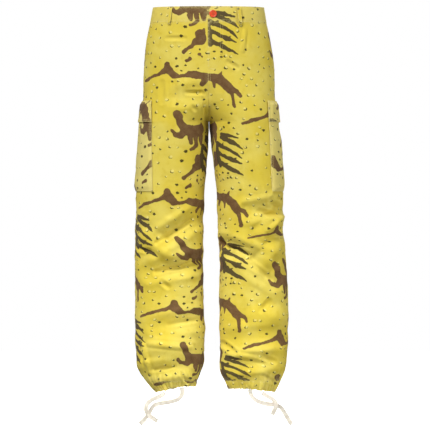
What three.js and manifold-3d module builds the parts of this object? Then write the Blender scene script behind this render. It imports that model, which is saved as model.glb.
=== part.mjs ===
// Loose cargo trousers, filled out as when worn and held up at the waist.
// Millimetres, +Z up, front towards -Y. The origin is the centre of the waist opening.
// Left and right are the wearer's, so the left leg lies on +X.
import * as THREE from "three";
import Module from "manifold-3d";

const wasm = await Module();
wasm.setup();

// Cloth
const TWILL = 2;
const FOLDED_TWILL = 3;
const POCKET_TWILL = 1.8;
const SEAM_GAP = 0.3;
const ROUNDNESS = 2.2;

// Heights down from the top edge of the waistband
const BAND_BOTTOM = -42;
const FLY_END = -175;
const CROTCH = -315;
const TUNNEL_TOP = -1028;
const FLY_EDGE_X = -3;

// The crotch curve's fullness, and how fast the legs part below it
const CROTCH_CURVE = 1.4;
const LEG_GAP = 0.5;
const LEG_GAP_SLOPE = 0.02;

// Half widths from the centre line and depths, at each height. Inner values start below the crotch.
const SECTIONS = [
  { z: 0, rightIn: 0, rightOut: 154, leftIn: 0, leftOut: 151, front: -98, back: 110 },
  { z: -42, rightIn: 0, rightOut: 162, leftIn: 0, leftOut: 158, front: -102, back: 118 },
  { z: -100, rightIn: 0, rightOut: 173, leftIn: 0, leftOut: 170, front: -108, back: 129 },
  { z: -170, rightIn: 0, rightOut: 179, leftIn: 0, leftOut: 179, front: -112, back: 138 },
  { z: -246, rightIn: 0, rightOut: 181, leftIn: 0, leftOut: 181, front: -113, back: 137 },
  { z: -315, rightIn: 0, rightOut: 187, leftIn: 0, leftOut: 187, front: -111, back: 123 },
  { z: -411, rightIn: 5, rightOut: 195, leftIn: 11, leftOut: 197, front: -106, back: 106 },
  { z: -510, rightIn: 14, rightOut: 200, leftIn: 22, leftOut: 203, front: -101, back: 98 },
  { z: -609, rightIn: 16, rightOut: 202, leftIn: 24, leftOut: 204, front: -95, back: 90 },
  { z: -708, rightIn: 17, rightOut: 204, leftIn: 30, leftOut: 212, front: -88, back: 86 },
  { z: -807, rightIn: 16, rightOut: 203, leftIn: 28, leftOut: 217, front: -84, back: 85 },
  { z: -906, rightIn: 11, rightOut: 203, leftIn: 30, leftOut: 217, front: -82, back: 86 },
  { z: -972, rightIn: 14, rightOut: 199, leftIn: 30, leftOut: 213, front: -80, back: 83 },
  { z: -1005, rightIn: 25, rightOut: 192, leftIn: 33, leftOut: 206, front: -74, back: 77 },
  { z: -1038, rightIn: 38, rightOut: 166, leftIn: 50, leftOut: 190, front: -58, back: 62 },
  { z: -1060, rightIn: 46, rightOut: 146, leftIn: 58, leftOut: 179, front: -50, back: 54 },
];

// The largest folds as seen from the front or the back. A negative depth is a trough.
const FOLDS = [
  { face: "front", x0: -25, z0: -562, x1: -146, z1: -637, width: 26, depth: -8 },
  { face: "front", x0: -172, z0: -632, x1: -85, z1: -692, width: 24, depth: 6 },
  { face: "front", x0: -25, z0: -703, x1: -160, z1: -729, width: 26, depth: -8 },
  { face: "front", x0: -25, z0: -857, x1: -140, z1: -879, width: 26, depth: -6 },
  { face: "front", x0: -60, z0: -931, x1: -165, z1: -938, width: 24, depth: 5 },
  { face: "front", x0: -173, z0: -1003, x1: -60, z1: -984, width: 22, depth: -6 },
  { face: "front", x0: -14, z0: -237, x1: -90, z1: -250, width: 26, depth: -4 },
  { face: "front", x0: 198, z0: -546, x1: 105, z1: -564, width: 24, depth: -7 },
  { face: "front", x0: 192, z0: -579, x1: 150, z1: -622, width: 22, depth: 6 },
  { face: "front", x0: 40, z0: -655, x1: 160, z1: -702, width: 26, depth: -8 },
  { face: "front", x0: 190, z0: -656, x1: 136, z1: -724, width: 24, depth: 6 },
  { face: "front", x0: 112, z0: -706, x1: 178, z1: -754, width: 26, depth: -7 },
  { face: "front", x0: 132, z0: -851, x1: 206, z1: -851, width: 28, depth: 6 },
  { face: "front", x0: 60, z0: -915, x1: 195, z1: -905, width: 26, depth: -5 },
  { face: "front", x0: 60, z0: -985, x1: 186, z1: -968, width: 22, depth: -5 },
  { face: "back", x0: -10, z0: -322, x1: -150, z1: -372, width: 28, depth: -6 },
  { face: "back", x0: 12, z0: -330, x1: 158, z1: -384, width: 28, depth: -6 },
  { face: "back", x0: -30, z0: -590, x1: -185, z1: -560, width: 28, depth: -8 },
  { face: "back", x0: -28, z0: -648, x1: -178, z1: -672, width: 26, depth: -8 },
  { face: "back", x0: -40, z0: -860, x1: -180, z1: -882, width: 28, depth: -6 },
  { face: "back", x0: -32, z0: -962, x1: -160, z1: -972, width: 24, depth: -5 },
  { face: "back", x0: 40, z0: -572, x1: 196, z1: -602, width: 28, depth: -8 },
  { face: "back", x0: 44, z0: -662, x1: 188, z1: -640, width: 26, depth: -8 },
  { face: "back", x0: 50, z0: -846, x1: 204, z1: -872, width: 28, depth: -6 },
  { face: "back", x0: 54, z0: -950, x1: 196, z1: -936, width: 24, depth: -5 },
];
// A fold's cross-section in widths from its line: the core's fall, the rim beside it and the reach
const FOLD = { coreFall: 1.6, rim: 0.35, rimAt: 1.25, rimFall: 6, reach: 2.2, endShare: 0.55 };
const FOLD_SIDE_FADE = [-0.1, 0.3];

// Grid of the leg panels: rows of equal height between the stops, and columns round the leg
const ROW_STOPS = [
  { z: BAND_BOTTOM - SEAM_GAP, rows: 5 },
  { z: FLY_END, rows: 6 },
  { z: CROTCH, rows: 8 },
  { z: -510, rows: 21 },
  { z: TUNNEL_TOP, rows: 0 },
];
const OUTER_COLUMNS = 4;
const OUTER_COLUMNS_FROM = 30;
const INNER_COLUMNS = 7;

// Cargo pockets and flaps, centred on the side seam. Their front edge runs between two distances
// from the body's middle, and their back edge lies opposite it.
const POCKET_EDGE_X = {
  left: { top: 161, bottom: 172 },
  right: { top: 157, bottom: 154 },
};
const EDGE_FADE = 100;
const FLAP_WIDER_DEG = 1.5;
const POCKET_TOP = -274;
const POCKET_BOTTOM = -507;
const POCKET_SEAT = 0.5;
const POCKET_SLACK = 3.4;
const POCKET_EDGE = 12;
const POCKET_EDGE_DEGS = [3.5, 7.5];
const POCKET_EDGE_ROWS = [6, 13];
const THIGH_RADIUS = 98;
const FLAP_TOP = -258;
const FLAP_BOTTOM = -317;
const FLAP_LIFT_END = -271;

// Waistband, fly shield, belt loops and button
const BAND_PROUD = 0.6;
const BAND_COLUMNS = 22;
const SHIELD = { top: -1.5, bottom: -160, half: 31, taper: 0.25, depth: 3.4, columns: 6, rows: 8 };
const LOOP_WIDTH = 11;
const LOOP_TOP = -3;
const LOOP_BOTTOM = -50;
const LOOP_SEAT = 1.1;
const LOOP_SLACK = 2.6;
const LOOP_CLOTH = 1.6;
const LOOP_ROWS = 8;
const LOOP_TACK = 2.6;
const LOOPS = [
  { name: "belt_loop_front_right", side: -1, deg: 39.5 },
  { name: "belt_loop_front_left", side: 1, deg: 30 },
  { name: "belt_loop_side_right", side: -1, deg: 118 },
  { name: "belt_loop_side_left", side: 1, deg: 118 },
  { name: "belt_loop_back", side: 1, deg: 180 },
];
const BUTTON = { x: 11, z: -21, radius: 10.5, rim: 3.2, dish: 2.2, hole: 1.0, pitch: 2.1 };
const BUTTON_SIDES = 32;
const HOLE_SIDES = 10;

// Gathered drawstring tunnel at each hem, and the height of its lower edge round the leg
const TUNNEL_COLUMNS = 64;
const TUNNEL_ROWS = 2;
const GATHERS = 16;
const GATHER_DEPTH = 2.2;
const GATHER_UNEVEN = { share: 0.25, waves: 3, turnDeg: 40 };
const HEM_EDGE = {
  left: { middle: -1055, outerDrop: 4, frontLift: 3 },
  right: { middle: -1052, outerDrop: 8, frontLift: 2 },
};
const HEM_TURN_DEG = 8;

// Drawstring tapes: from the tunnel to the free end
const TAPE_WIDTH = 12;
const TAPE_THICKNESS = 2;
const TAPES = {
  drawstring_right_outer: [
    [-121, -44.5, -1060.7], [-130, -47, -1067.3], [-140, -50, -1072.4], [-149, -53, -1076.2],
    [-157, -55.5, -1080], [-164, -57, -1084.6], [-169, -58.5, -1090.4], [-172.5, -59, -1097.4],
    [-173.5, -59, -1105], [-171.5, -59, -1113], [-167, -58, -1120], [-160, -57, -1126],
    [-152, -56, -1131.5], [-142, -55, -1138],
  ],
  drawstring_right_inner: [
    [-74.3, -50, -1045.6], [-73.5, -50, -1051.5], [-73.4, -50, -1057], [-74, -50, -1063],
    [-76.5, -50, -1069], [-81, -50, -1075], [-88, -50, -1080], [-97, -50, -1083],
    [-107, -50, -1085.2], [-118, -50, -1087], [-129, -50, -1088.6], [-139, -50, -1090.4],
    [-147.5, -50, -1094], [-154, -50, -1099], [-158.5, -50, -1105.5], [-162.5, -50, -1113],
    [-167, -50, -1120.5], [-173, -50, -1128.5], [-180.5, -50, -1137], [-189.5, -50, -1146.5],
  ],
  drawstring_left_inner: [
    [112.8, -52, -1051.1], [113.5, -51, -1058], [115.4, -50, -1064.6], [118.6, -50, -1070.5],
    [123.4, -50, -1076], [130, -50, -1081], [138, -50, -1085], [147, -50, -1088.2],
    [157, -50, -1090.6], [167, -50, -1092], [177, -50, -1093], [186, -50, -1094.6],
    [193.5, -50, -1098], [199.5, -50, -1103.5], [204.5, -50, -1110.5], [209.5, -50, -1118.5],
    [215, -50, -1128], [221, -50, -1138], [227.5, -50, -1148],
  ],
  drawstring_left_outer: [
    [146, -46.7, -1060.5], [153, -49, -1065.4], [160, -52, -1069.5], [167, -55, -1073],
    [173.5, -57, -1077], [179, -58, -1082], [182.6, -58.5, -1088], [183.8, -58.5, -1094.5],
    [182.8, -58, -1101], [180, -57, -1107.5], [177, -56, -1114], [174, -55, -1120.5],
  ],
};

const INK_YELLOW = new THREE.Color().setRGB(0.8, 0.68, 0.14);
const COTTON = new THREE.Color().setRGB(0.76, 0.7, 0.58);
const BUTTON_ORANGE = new THREE.Color().setRGB(0.62, 0.07, 0.015);
const trousers = new THREE.Group();

const lerp = THREE.MathUtils.lerp;
const ease = (t) => THREE.MathUtils.smoothstep(t, 0, 1);
const radians = THREE.MathUtils.degToRad;
const signedPower = (value, power) => Math.sign(value) * Math.abs(value) ** power;

// A column of the section table at any height, on a smooth curve through its rows
function sectionValue(key, z) {
  const last = SECTIONS.length - 2;
  let row = 0;
  while (row < last && z < SECTIONS[row + 1].z) row += 1;
  const at = (i) => SECTIONS[Math.min(Math.max(i, 0), last + 1)];
  const [before, start, end, after] = [at(row - 1), at(row), at(row + 1), at(row + 2)];
  const span = end.z - start.z;
  const t = (z - start.z) / span;
  const slopeIn = ((end[key] - before[key]) / (end.z - before.z)) * span;
  const slopeOut = ((after[key] - start[key]) / (after.z - start.z)) * span;
  const t2 = t * t;
  const t3 = t2 * t;
  return (
    (2 * t3 - 3 * t2 + 1) * start[key] +
    (t3 - 2 * t2 + t) * slopeIn +
    (3 * t2 - 2 * t3) * end[key] +
    (t3 - t2) * slopeOut
  );
}

// The closed section of one leg. Above the crotch the two sections merge into one body.
function legSection(side, z) {
  const leg = side > 0 ? "left" : "right";
  const out = sectionValue(leg + "Out", z);
  const front = sectionValue("front", z);
  const back = sectionValue("back", z);
  let half;
  let centre;
  if (z >= CROTCH) {
    const fall = Math.max(0, (FLY_END - z) / (FLY_END - CROTCH));
    const parting = fall ** CROTCH_CURVE;
    half = out / (1 + parting);
    centre = parting * half;
  } else {
    const least = LEG_GAP + (CROTCH - z) * LEG_GAP_SLOPE;
    const inner = Math.max(sectionValue(leg + "In", z), least);
    half = (out - inner) / 2;
    centre = (out + inner) / 2;
  }
  return { half, centre, middle: (front + back) / 2, depth: (back - front) / 2 };
}

// Degrees from the front at which a section meets the centre plane, or the inside leg seam
function seamStart(side, z, planeX) {
  const { half, centre } = legSection(side, z);
  const reach = (side * planeX + SEAM_GAP / 2 - centre) / half;
  const sine = signedPower(Math.max(-1, reach), ROUNDNESS / 2);
  return THREE.MathUtils.radToDeg(Math.asin(sine));
}

// How far the folds lift or sink the cloth at a place on the front or back
function foldHeight(x, z, facing) {
  let height = 0;
  for (const fold of FOLDS) {
    const facesFold = fold.face === "front" ? facing : -facing;
    const fade = THREE.MathUtils.smoothstep(facesFold, ...FOLD_SIDE_FADE);
    const along = new THREE.Vector2(fold.x1 - fold.x0, fold.z1 - fold.z0);
    const from = new THREE.Vector2(x - fold.x0, z - fold.z0);
    const t = THREE.MathUtils.clamp(from.dot(along) / along.lengthSq(), 0, 1);
    const q = from.sub(along.multiplyScalar(t)).length() / fold.width;
    if (fade === 0 || q > FOLD.reach) continue;
    const core = Math.exp(-FOLD.coreFall * q * q);
    const rim = FOLD.rim * Math.exp(-FOLD.rimFall * (q - FOLD.rimAt) ** 2);
    const swell = lerp(FOLD.endShare, 1, Math.sin(Math.PI * t));
    height += fade * fold.depth * (core - rim) * swell;
  }
  return height;
}

// A point of the cloth's outer face, before the folds move it
function plainPoint(side, deg, z) {
  const { half, centre, middle, depth } = legSection(side, z);
  const across = signedPower(Math.sin(radians(deg)), 2 / ROUNDNESS);
  const facing = signedPower(Math.cos(radians(deg)), 2 / ROUNDNESS);
  return new THREE.Vector3(side * (centre + half * across), middle - depth * facing, z);
}

function plainNormal(side, deg, z) {
  const round = plainPoint(side, deg + 0.5, z).sub(plainPoint(side, deg - 0.5, z));
  const up = plainPoint(side, deg, z + 1).sub(plainPoint(side, deg, z - 1));
  return round.cross(up).multiplyScalar(side).normalize();
}

// Degrees from the front of a place on the body's front, above the crotch
function frontDeg(x, z) {
  const sine = signedPower(x / legSection(1, z).half, ROUNDNESS / 2);
  return THREE.MathUtils.radToDeg(Math.asin(sine));
}

// A point of the cloth, moved out from its outer face
function clothPoint(side, deg, z, out) {
  const point = plainPoint(side, deg, z);
  const height = foldHeight(point.x, z, Math.cos(radians(deg)));
  return point.addScaledVector(plainNormal(side, deg, z), height + out);
}

// A closed wall between an outer and an inner grid of points. A ring closes on itself.
function wall(columns, rows, outerAt, innerAt, ring = false) {
  const positions = [];
  const index = [];
  const across = ring ? columns : columns + 1;
  const count = across * (rows + 1);
  for (const pointAt of [outerAt, innerAt])
    for (let j = 0; j <= rows; j += 1)
      for (let i = 0; i < across; i += 1) positions.push(...pointAt(i, j).toArray());
  const at = (i, j, layer) => layer * count + j * across + (i % across);
  const quad = (a, b, c, d) => index.push(a, b, c, a, c, d);
  for (let j = 0; j < rows; j += 1)
    for (let i = 0; i < columns; i += 1) {
      quad(at(i, j, 0), at(i, j + 1, 0), at(i + 1, j + 1, 0), at(i + 1, j, 0));
      quad(at(i, j, 1), at(i + 1, j, 1), at(i + 1, j + 1, 1), at(i, j + 1, 1));
    }
  for (let i = 0; i < columns; i += 1) {
    quad(at(i, 0, 0), at(i + 1, 0, 0), at(i + 1, 0, 1), at(i, 0, 1));
    quad(at(i, rows, 0), at(i, rows, 1), at(i + 1, rows, 1), at(i + 1, rows, 0));
  }
  for (let j = 0; j < rows && !ring; j += 1) {
    quad(at(0, j, 0), at(0, j, 1), at(0, j + 1, 1), at(0, j + 1, 0));
    quad(at(columns, j, 0), at(columns, j + 1, 0), at(columns, j + 1, 1), at(columns, j, 1));
  }
  return outward(positions, index);
}

// A geometry with its faces turned outwards
function outward(positions, index) {
  const point = (i) => new THREE.Vector3().fromArray(positions, 3 * i);
  let volume = 0;
  for (let t = 0; t < index.length; t += 3)
    volume += point(index[t]).dot(point(index[t + 1]).cross(point(index[t + 2])));
  if (volume < 0)
    for (let t = 0; t < index.length; t += 3)
      [index[t + 1], index[t + 2]] = [index[t + 2], index[t + 1]];
  const geometry = new THREE.BufferGeometry();
  geometry.setAttribute("position", new THREE.Float32BufferAttribute(positions, 3));
  geometry.setIndex(index);
  return geometry;
}

function add(name, geometry, color, roughness) {
  geometry.computeVertexNormals();
  const material = new THREE.MeshStandardMaterial({ color, roughness, metalness: 0 });
  const mesh = new THREE.Mesh(geometry, material);
  mesh.name = name;
  trousers.add(mesh);
}

function addCloth(name, geometry) {
  add(name, geometry, INK_YELLOW, 0.9);
}

const PANEL_ROWS = ROW_STOPS.flatMap(({ z, rows }, i) => {
  const next = ROW_STOPS[i + 1];
  return next ? Array.from({ length: rows }, (_, j) => lerp(z, next.z, j / rows)) : [z];
});

// Degrees from the front of the pocket's front edge. Below the pocket it goes back to even columns.
function pocketEdgeDeg(side, z) {
  const at = THREE.MathUtils.clamp(z, POCKET_BOTTOM, FLAP_TOP);
  const { half, centre } = legSection(side, at);
  const edge = POCKET_EDGE_X[side > 0 ? "left" : "right"];
  const x = lerp(edge.top, edge.bottom, (FLAP_TOP - at) / (FLAP_TOP - POCKET_BOTTOM));
  const deg = THREE.MathUtils.radToDeg(Math.asin(signedPower((x - centre) / half, ROUNDNESS / 2)));
  return lerp(deg, OUTER_COLUMNS_FROM, THREE.MathUtils.clamp((POCKET_BOTTOM - z) / EDGE_FADE, 0, 1));
}

// Columns of a panel at a height: even ones inside, then outer ones that the pockets share
function panelColumns(side, z, planeX) {
  const start = seamStart(side, z, planeX);
  const outer = pocketEdgeDeg(side, z);
  const columns = [];
  for (let i = 0; i < INNER_COLUMNS; i += 1) columns.push(lerp(start, outer, i / INNER_COLUMNS));
  for (let i = 0; i < OUTER_COLUMNS; i += 1) columns.push(lerp(outer, 90, i / OUTER_COLUMNS));
  const gapDeg = THREE.MathUtils.radToDeg(SEAM_GAP / 2 / legSection(side, z).depth);
  columns.push(90 - gapDeg);
  if (z < CROTCH) columns[0] += gapDeg;
  return columns;
}

function legPanel(name, side, face) {
  const planeX = face === "front" ? FLY_EDGE_X : 0;
  const turn = (deg) => (face === "front" ? deg : 180 - deg);
  const seamX = PANEL_ROWS.map((z) => planeX * ease((z - CROTCH) / (FLY_END - CROTCH)));
  const grid = PANEL_ROWS.map((z, j) => panelColumns(side, z, seamX[j]).map(turn));
  const pointAt = (out) => (i, j) => {
    const point = clothPoint(side, grid[j][i], PANEL_ROWS[j], out);
    point.x = side * Math.max(side * point.x, side * seamX[j] + SEAM_GAP / 2);
    return point;
  };
  addCloth(name, wall(grid[0].length - 1, grid.length - 1, pointAt(0), pointAt(-TWILL)));
}

// One half of the waistband, from the fly edge to the centre back
function waistband(name, side) {
  const rows = [0, BAND_BOTTOM / 2, BAND_BOTTOM];
  const degAt = (i, z) => {
    const end = 180 - seamStart(side, z, 0);
    return lerp(seamStart(side, z, FLY_EDGE_X), end, i / BAND_COLUMNS);
  };
  const pointAt = (out) => (i, j) => clothPoint(side, degAt(i, rows[j]), rows[j], out);
  const inner = pointAt(BAND_PROUD - FOLDED_TWILL);
  addCloth(name, wall(BAND_COLUMNS, rows.length - 1, pointAt(BAND_PROUD), inner));
}

// The shield behind the fly, sewn inside the right front and lying behind the left one
function flyShield() {
  const { top, bottom, half, taper, depth, columns, rows } = SHIELD;
  const pointAt = (out) => (i, j) => {
    const z = lerp(top, bottom, j / rows);
    const x = lerp(-half, half, i / columns) * (1 - (taper * j) / rows);
    return clothPoint(1, frontDeg(x, z), z, out);
  };
  addCloth("fly_shield", wall(columns, rows, pointAt(-depth), pointAt(-depth - TWILL)));
}

// A strip sewn down at its two ends, slack between them
function beltLoop({ name, side, deg }) {
  const pointAt = (out) => (i, j) => {
    const z = lerp(LOOP_TOP, LOOP_BOTTOM, j / LOOP_ROWS);
    const halfDeg = THREE.MathUtils.radToDeg(LOOP_WIDTH / 2 / legSection(side, z).half);
    const slack = LOOP_SLACK * ease(Math.min(1, LOOP_TACK * Math.sin((Math.PI * j) / LOOP_ROWS)));
    return clothPoint(side, deg + (i - 1) * halfDeg, z, LOOP_SEAT + slack + out);
  };
  addCloth(name, wall(2, LOOP_ROWS, pointAt(LOOP_CLOTH), pointAt(0)));
}

// How far a pocket's bag stands off the leg, sewn down at the sides and the bottom
function bagSlack(side, deg, z) {
  const inside = 90 - pocketEdgeDeg(side, z) - Math.abs(deg - 90);
  const sideEdge = Math.max(0, radians(inside)) * THIGH_RADIUS;
  const bottomEdge = z - POCKET_BOTTOM;
  return POCKET_SLACK * ease(sideEdge / POCKET_EDGE) * ease(bottomEdge / POCKET_EDGE);
}

function pocketColumns(side, z, wider = 0) {
  const inner = pocketEdgeDeg(side, z);
  const columns = [inner, ...POCKET_EDGE_DEGS.map((deg) => inner + deg)];
  for (let i = 1; i < OUTER_COLUMNS; i += 1) columns.push(lerp(inner, 90, i / OUTER_COLUMNS));
  if (wider > 0) columns.unshift(inner - wider);
  return [...columns, 90, ...columns.map((deg) => 180 - deg).reverse()];
}

// Rows of the leg panels between two heights, with the two ends and any more rows that are wanted
function rowsBetween(top, bottom, ...more) {
  const inside = PANEL_ROWS.filter((z) => z < top - 3 && z > bottom + 3);
  return [top, ...inside, ...more, bottom].sort((a, b) => b - a);
}

function cargoPocket(name, side) {
  const edgeRows = POCKET_EDGE_ROWS.map((up) => POCKET_BOTTOM + up);
  const rows = rowsBetween(POCKET_TOP, POCKET_BOTTOM, ...edgeRows);
  const grid = rows.map((z) => pocketColumns(side, z));
  const pointAt = (out) => (i, j) => {
    const slack = bagSlack(side, grid[j][i], rows[j]);
    return clothPoint(side, grid[j][i], rows[j], POCKET_SEAT + slack + out);
  };
  addCloth(name, wall(grid[0].length - 1, rows.length - 1, pointAt(POCKET_TWILL), pointAt(0)));
}

function pocketFlap(name, side) {
  const rows = rowsBetween(FLAP_TOP, FLAP_BOTTOM, FLAP_LIFT_END);
  const grid = rows.map((z) => pocketColumns(side, z, FLAP_WIDER_DEG));
  const pointAt = (out) => (i, j) => {
    const lifted = bagSlack(side, grid[j][i], rows[j]) + POCKET_TWILL + POCKET_SEAT;
    const lift = lifted * ease((FLAP_TOP - rows[j]) / (FLAP_TOP - FLAP_LIFT_END));
    return clothPoint(side, grid[j][i], rows[j], POCKET_SEAT + lift + out);
  };
  addCloth(name, wall(grid[0].length - 1, rows.length - 1, pointAt(POCKET_TWILL), pointAt(0)));
}

// The hem's lower edge, lowest at the outer side
function hemBottom(side, deg) {
  const { middle, outerDrop, frontLift } = HEM_EDGE[side > 0 ? "left" : "right"];
  const outer = signedPower(Math.sin(radians(deg - HEM_TURN_DEG)), 0.5);
  return middle - outerDrop * outer + frontLift * Math.cos(radians(deg)) ** 2;
}

// The turned-up tunnel round a hem, drawn into gathers
function hemTunnel(name, side) {
  const pointAt = (out) => (i, j) => {
    const deg = (i / TUNNEL_COLUMNS) * 360;
    const down = j / TUNNEL_ROWS;
    const z = lerp(TUNNEL_TOP - 2 * SEAM_GAP, hemBottom(side, deg), down);
    const { share, waves, turnDeg } = GATHER_UNEVEN;
    const uneven = 1 - share + share * Math.sin(radians(waves * deg + turnDeg * side));
    const gather = GATHER_DEPTH * uneven * ease(down) * Math.cos(radians(GATHERS * deg));
    return clothPoint(side, deg, z, gather + out);
  };
  addCloth(name, wall(TUNNEL_COLUMNS, TUNNEL_ROWS, pointAt(0), pointAt(-FOLDED_TWILL), true));
}

function solidOf(geometry) {
  const vertProperties = new Float32Array(geometry.attributes.position.array);
  const triVerts = new Uint32Array(geometry.index.array);
  return new wasm.Manifold(new wasm.Mesh({ numProp: 3, vertProperties, triVerts }));
}

// Rings of points spun round the Y axis, as one closed disc that faces -Y
function disc(profile, segments, x = 0, z = 0) {
  const positions = [];
  const index = [];
  for (const [radius, depth] of profile)
    for (let s = 0; s < segments; s += 1) {
      const turn = (2 * Math.PI * s) / segments;
      positions.push(x + radius * Math.cos(turn), -depth, z + radius * Math.sin(turn));
    }
  const centre = positions.length / 3;
  const lastRing = (profile.length - 1) * segments;
  positions.push(x, -profile[0][1], z, x, -profile.at(-1)[1], z);
  for (let s = 0; s < segments; s += 1) {
    const t = (s + 1) % segments;
    index.push(centre, t, s, centre + 1, lastRing + s, lastRing + t);
    for (let ring = 0; ring < lastRing; ring += segments) {
      index.push(ring + s, ring + t, ring + segments + t);
      index.push(ring + s, ring + segments + t, ring + segments + s);
    }
  }
  return outward(positions, index);
}

// The sewn button: a dished disc with a raised rim and four holes
function waistButton() {
  const { x, z, radius, rim, dish, hole, pitch } = BUTTON;
  const deg = frontDeg(x, z);
  const profile = [
    [radius - 1.6, 0], [radius - 0.4, 0.7], [radius, 1.6], [radius - 0.5, rim - 0.4],
    [radius - 1.5, rim], [radius - 2.6, rim - 0.3], [radius - 3.4, dish],
  ];
  const drill = [[hole, -1], [hole, rim + 1]];
  let solid = solidOf(disc(profile, BUTTON_SIDES));
  for (const [dx, dz] of [[1, 1], [1, -1], [-1, 1], [-1, -1]])
    solid = solid.subtract(solidOf(disc(drill, HOLE_SIDES, dx * pitch, dz * pitch)));
  const { vertProperties, triVerts } = solid.getMesh();
  const geometry = outward([...vertProperties], [...triVerts]);
  const facing = new THREE.Vector3(0, -1, 0);
  geometry.applyQuaternion(new THREE.Quaternion().setFromUnitVectors(facing, plainNormal(1, deg, z)));
  geometry.translate(...clothPoint(1, deg, z, BAND_PROUD + 2 * SEAM_GAP).toArray());
  add("waist_button", geometry, BUTTON_ORANGE, 0.4);
}

// A flat woven tape, swept along its route
function drawstring(name, route) {
  const points = route.map((place) => new THREE.Vector3(...place));
  const [w, t] = [TAPE_WIDTH / 2, TAPE_THICKNESS / 2];
  const corners = [
    [t * 0.5, w], [-t * 0.5, w], [-t, w - 1], [-t, 1 - w],
    [-t * 0.5, -w], [t * 0.5, -w], [t, 1 - w], [t, w - 1],
  ];
  const section = new THREE.Shape(corners.map((corner) => new THREE.Vector2(...corner)));
  const extrudePath = new THREE.CatmullRomCurve3(points, false, "centripetal");
  const steps = route.length + 4;
  const geometry = new THREE.ExtrudeGeometry(section, { steps, bevelEnabled: false, extrudePath });
  add(name, geometry, COTTON, 0.95);
}

for (const [leg, side] of Object.entries({ left: 1, right: -1 })) {
  legPanel(`front_${leg}`, side, "front");
  legPanel(`back_${leg}`, side, "back");
  waistband(`waistband_${leg}`, side);
  cargoPocket(`cargo_pocket_${leg}`, side);
  pocketFlap(`cargo_flap_${leg}`, side);
  hemTunnel(`hem_tunnel_${leg}`, side);
}
flyShield();
for (const loop of LOOPS) beltLoop(loop);
waistButton();
for (const [name, route] of Object.entries(TAPES)) drawstring(name, route);

export default trousers;
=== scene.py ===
import math

import bpy
import numpy as np
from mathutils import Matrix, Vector


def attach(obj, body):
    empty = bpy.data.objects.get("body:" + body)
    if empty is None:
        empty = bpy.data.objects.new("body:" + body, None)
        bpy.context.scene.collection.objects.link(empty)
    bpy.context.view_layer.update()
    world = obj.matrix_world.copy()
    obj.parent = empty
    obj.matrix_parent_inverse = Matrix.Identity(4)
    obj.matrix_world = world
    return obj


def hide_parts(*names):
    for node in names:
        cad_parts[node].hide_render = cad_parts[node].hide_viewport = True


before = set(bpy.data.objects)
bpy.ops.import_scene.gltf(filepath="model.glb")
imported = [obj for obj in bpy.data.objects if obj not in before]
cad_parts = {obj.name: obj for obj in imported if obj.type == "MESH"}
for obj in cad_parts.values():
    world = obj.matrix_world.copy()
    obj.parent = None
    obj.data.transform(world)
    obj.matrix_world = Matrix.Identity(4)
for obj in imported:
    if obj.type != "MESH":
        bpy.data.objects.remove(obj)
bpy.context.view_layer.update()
for thing in bpy.context.selected_objects:
    thing.select_set(False)

# Sizes here are in millimetres and become metres where a mesh is made.
MM = 0.001

# Camera
camera = bpy.data.objects.new("camera", bpy.data.cameras.new("camera"))
bpy.context.scene.collection.objects.link(camera)
camera.location = (0.0165, -14, -0.572)
camera.rotation_euler = (math.pi / 2, 0, 0)
camera.data.lens = 425
camera.data.sensor_width = 36
bpy.context.scene.camera = camera

# The cut of the trousers
TWILL, FOLDED_TWILL, POCKET_TWILL = 2.0, 3.0, 1.8
# Between the solids at a seam, and between the shells there, whose edges meet to the eye
SEAM_GAP, SEWN_GAP = 0.3, 0.01
ROUNDNESS = 2.2
BAND_BOTTOM = -42.0
FLY_END = -175.0
CROTCH = -315.0
TUNNEL_TOP = -1028.0
FLY_EDGE_X = -3.0
CROTCH_CURVE = 1.4
LEG_GAP, LEG_GAP_SLOPE = 0.5, 0.02

SECTION_COLUMNS = ("z", "right_in", "right_out", "left_in", "left_out", "front", "back")
SECTIONS = np.array([
    (0, 0, 154, 0, 151, -98, 110),
    (-42, 0, 162, 0, 158, -102, 118),
    (-100, 0, 173, 0, 170, -108, 129),
    (-170, 0, 179, 0, 179, -112, 138),
    (-246, 0, 181, 0, 181, -113, 137),
    (-315, 0, 187, 0, 187, -111, 123),
    (-411, 5, 195, 11, 197, -106, 106),
    (-510, 14, 200, 22, 203, -101, 98),
    (-609, 16, 202, 24, 204, -95, 90),
    (-708, 17, 204, 30, 212, -88, 86),
    (-807, 16, 203, 28, 217, -84, 85),
    (-906, 11, 203, 30, 217, -82, 86),
    (-972, 14, 199, 30, 213, -80, 83),
    (-1005, 25, 192, 33, 206, -74, 77),
    (-1038, 38, 166, 50, 190, -58, 62),
    (-1060, 46, 146, 58, 179, -50, 54),
], float)

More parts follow.
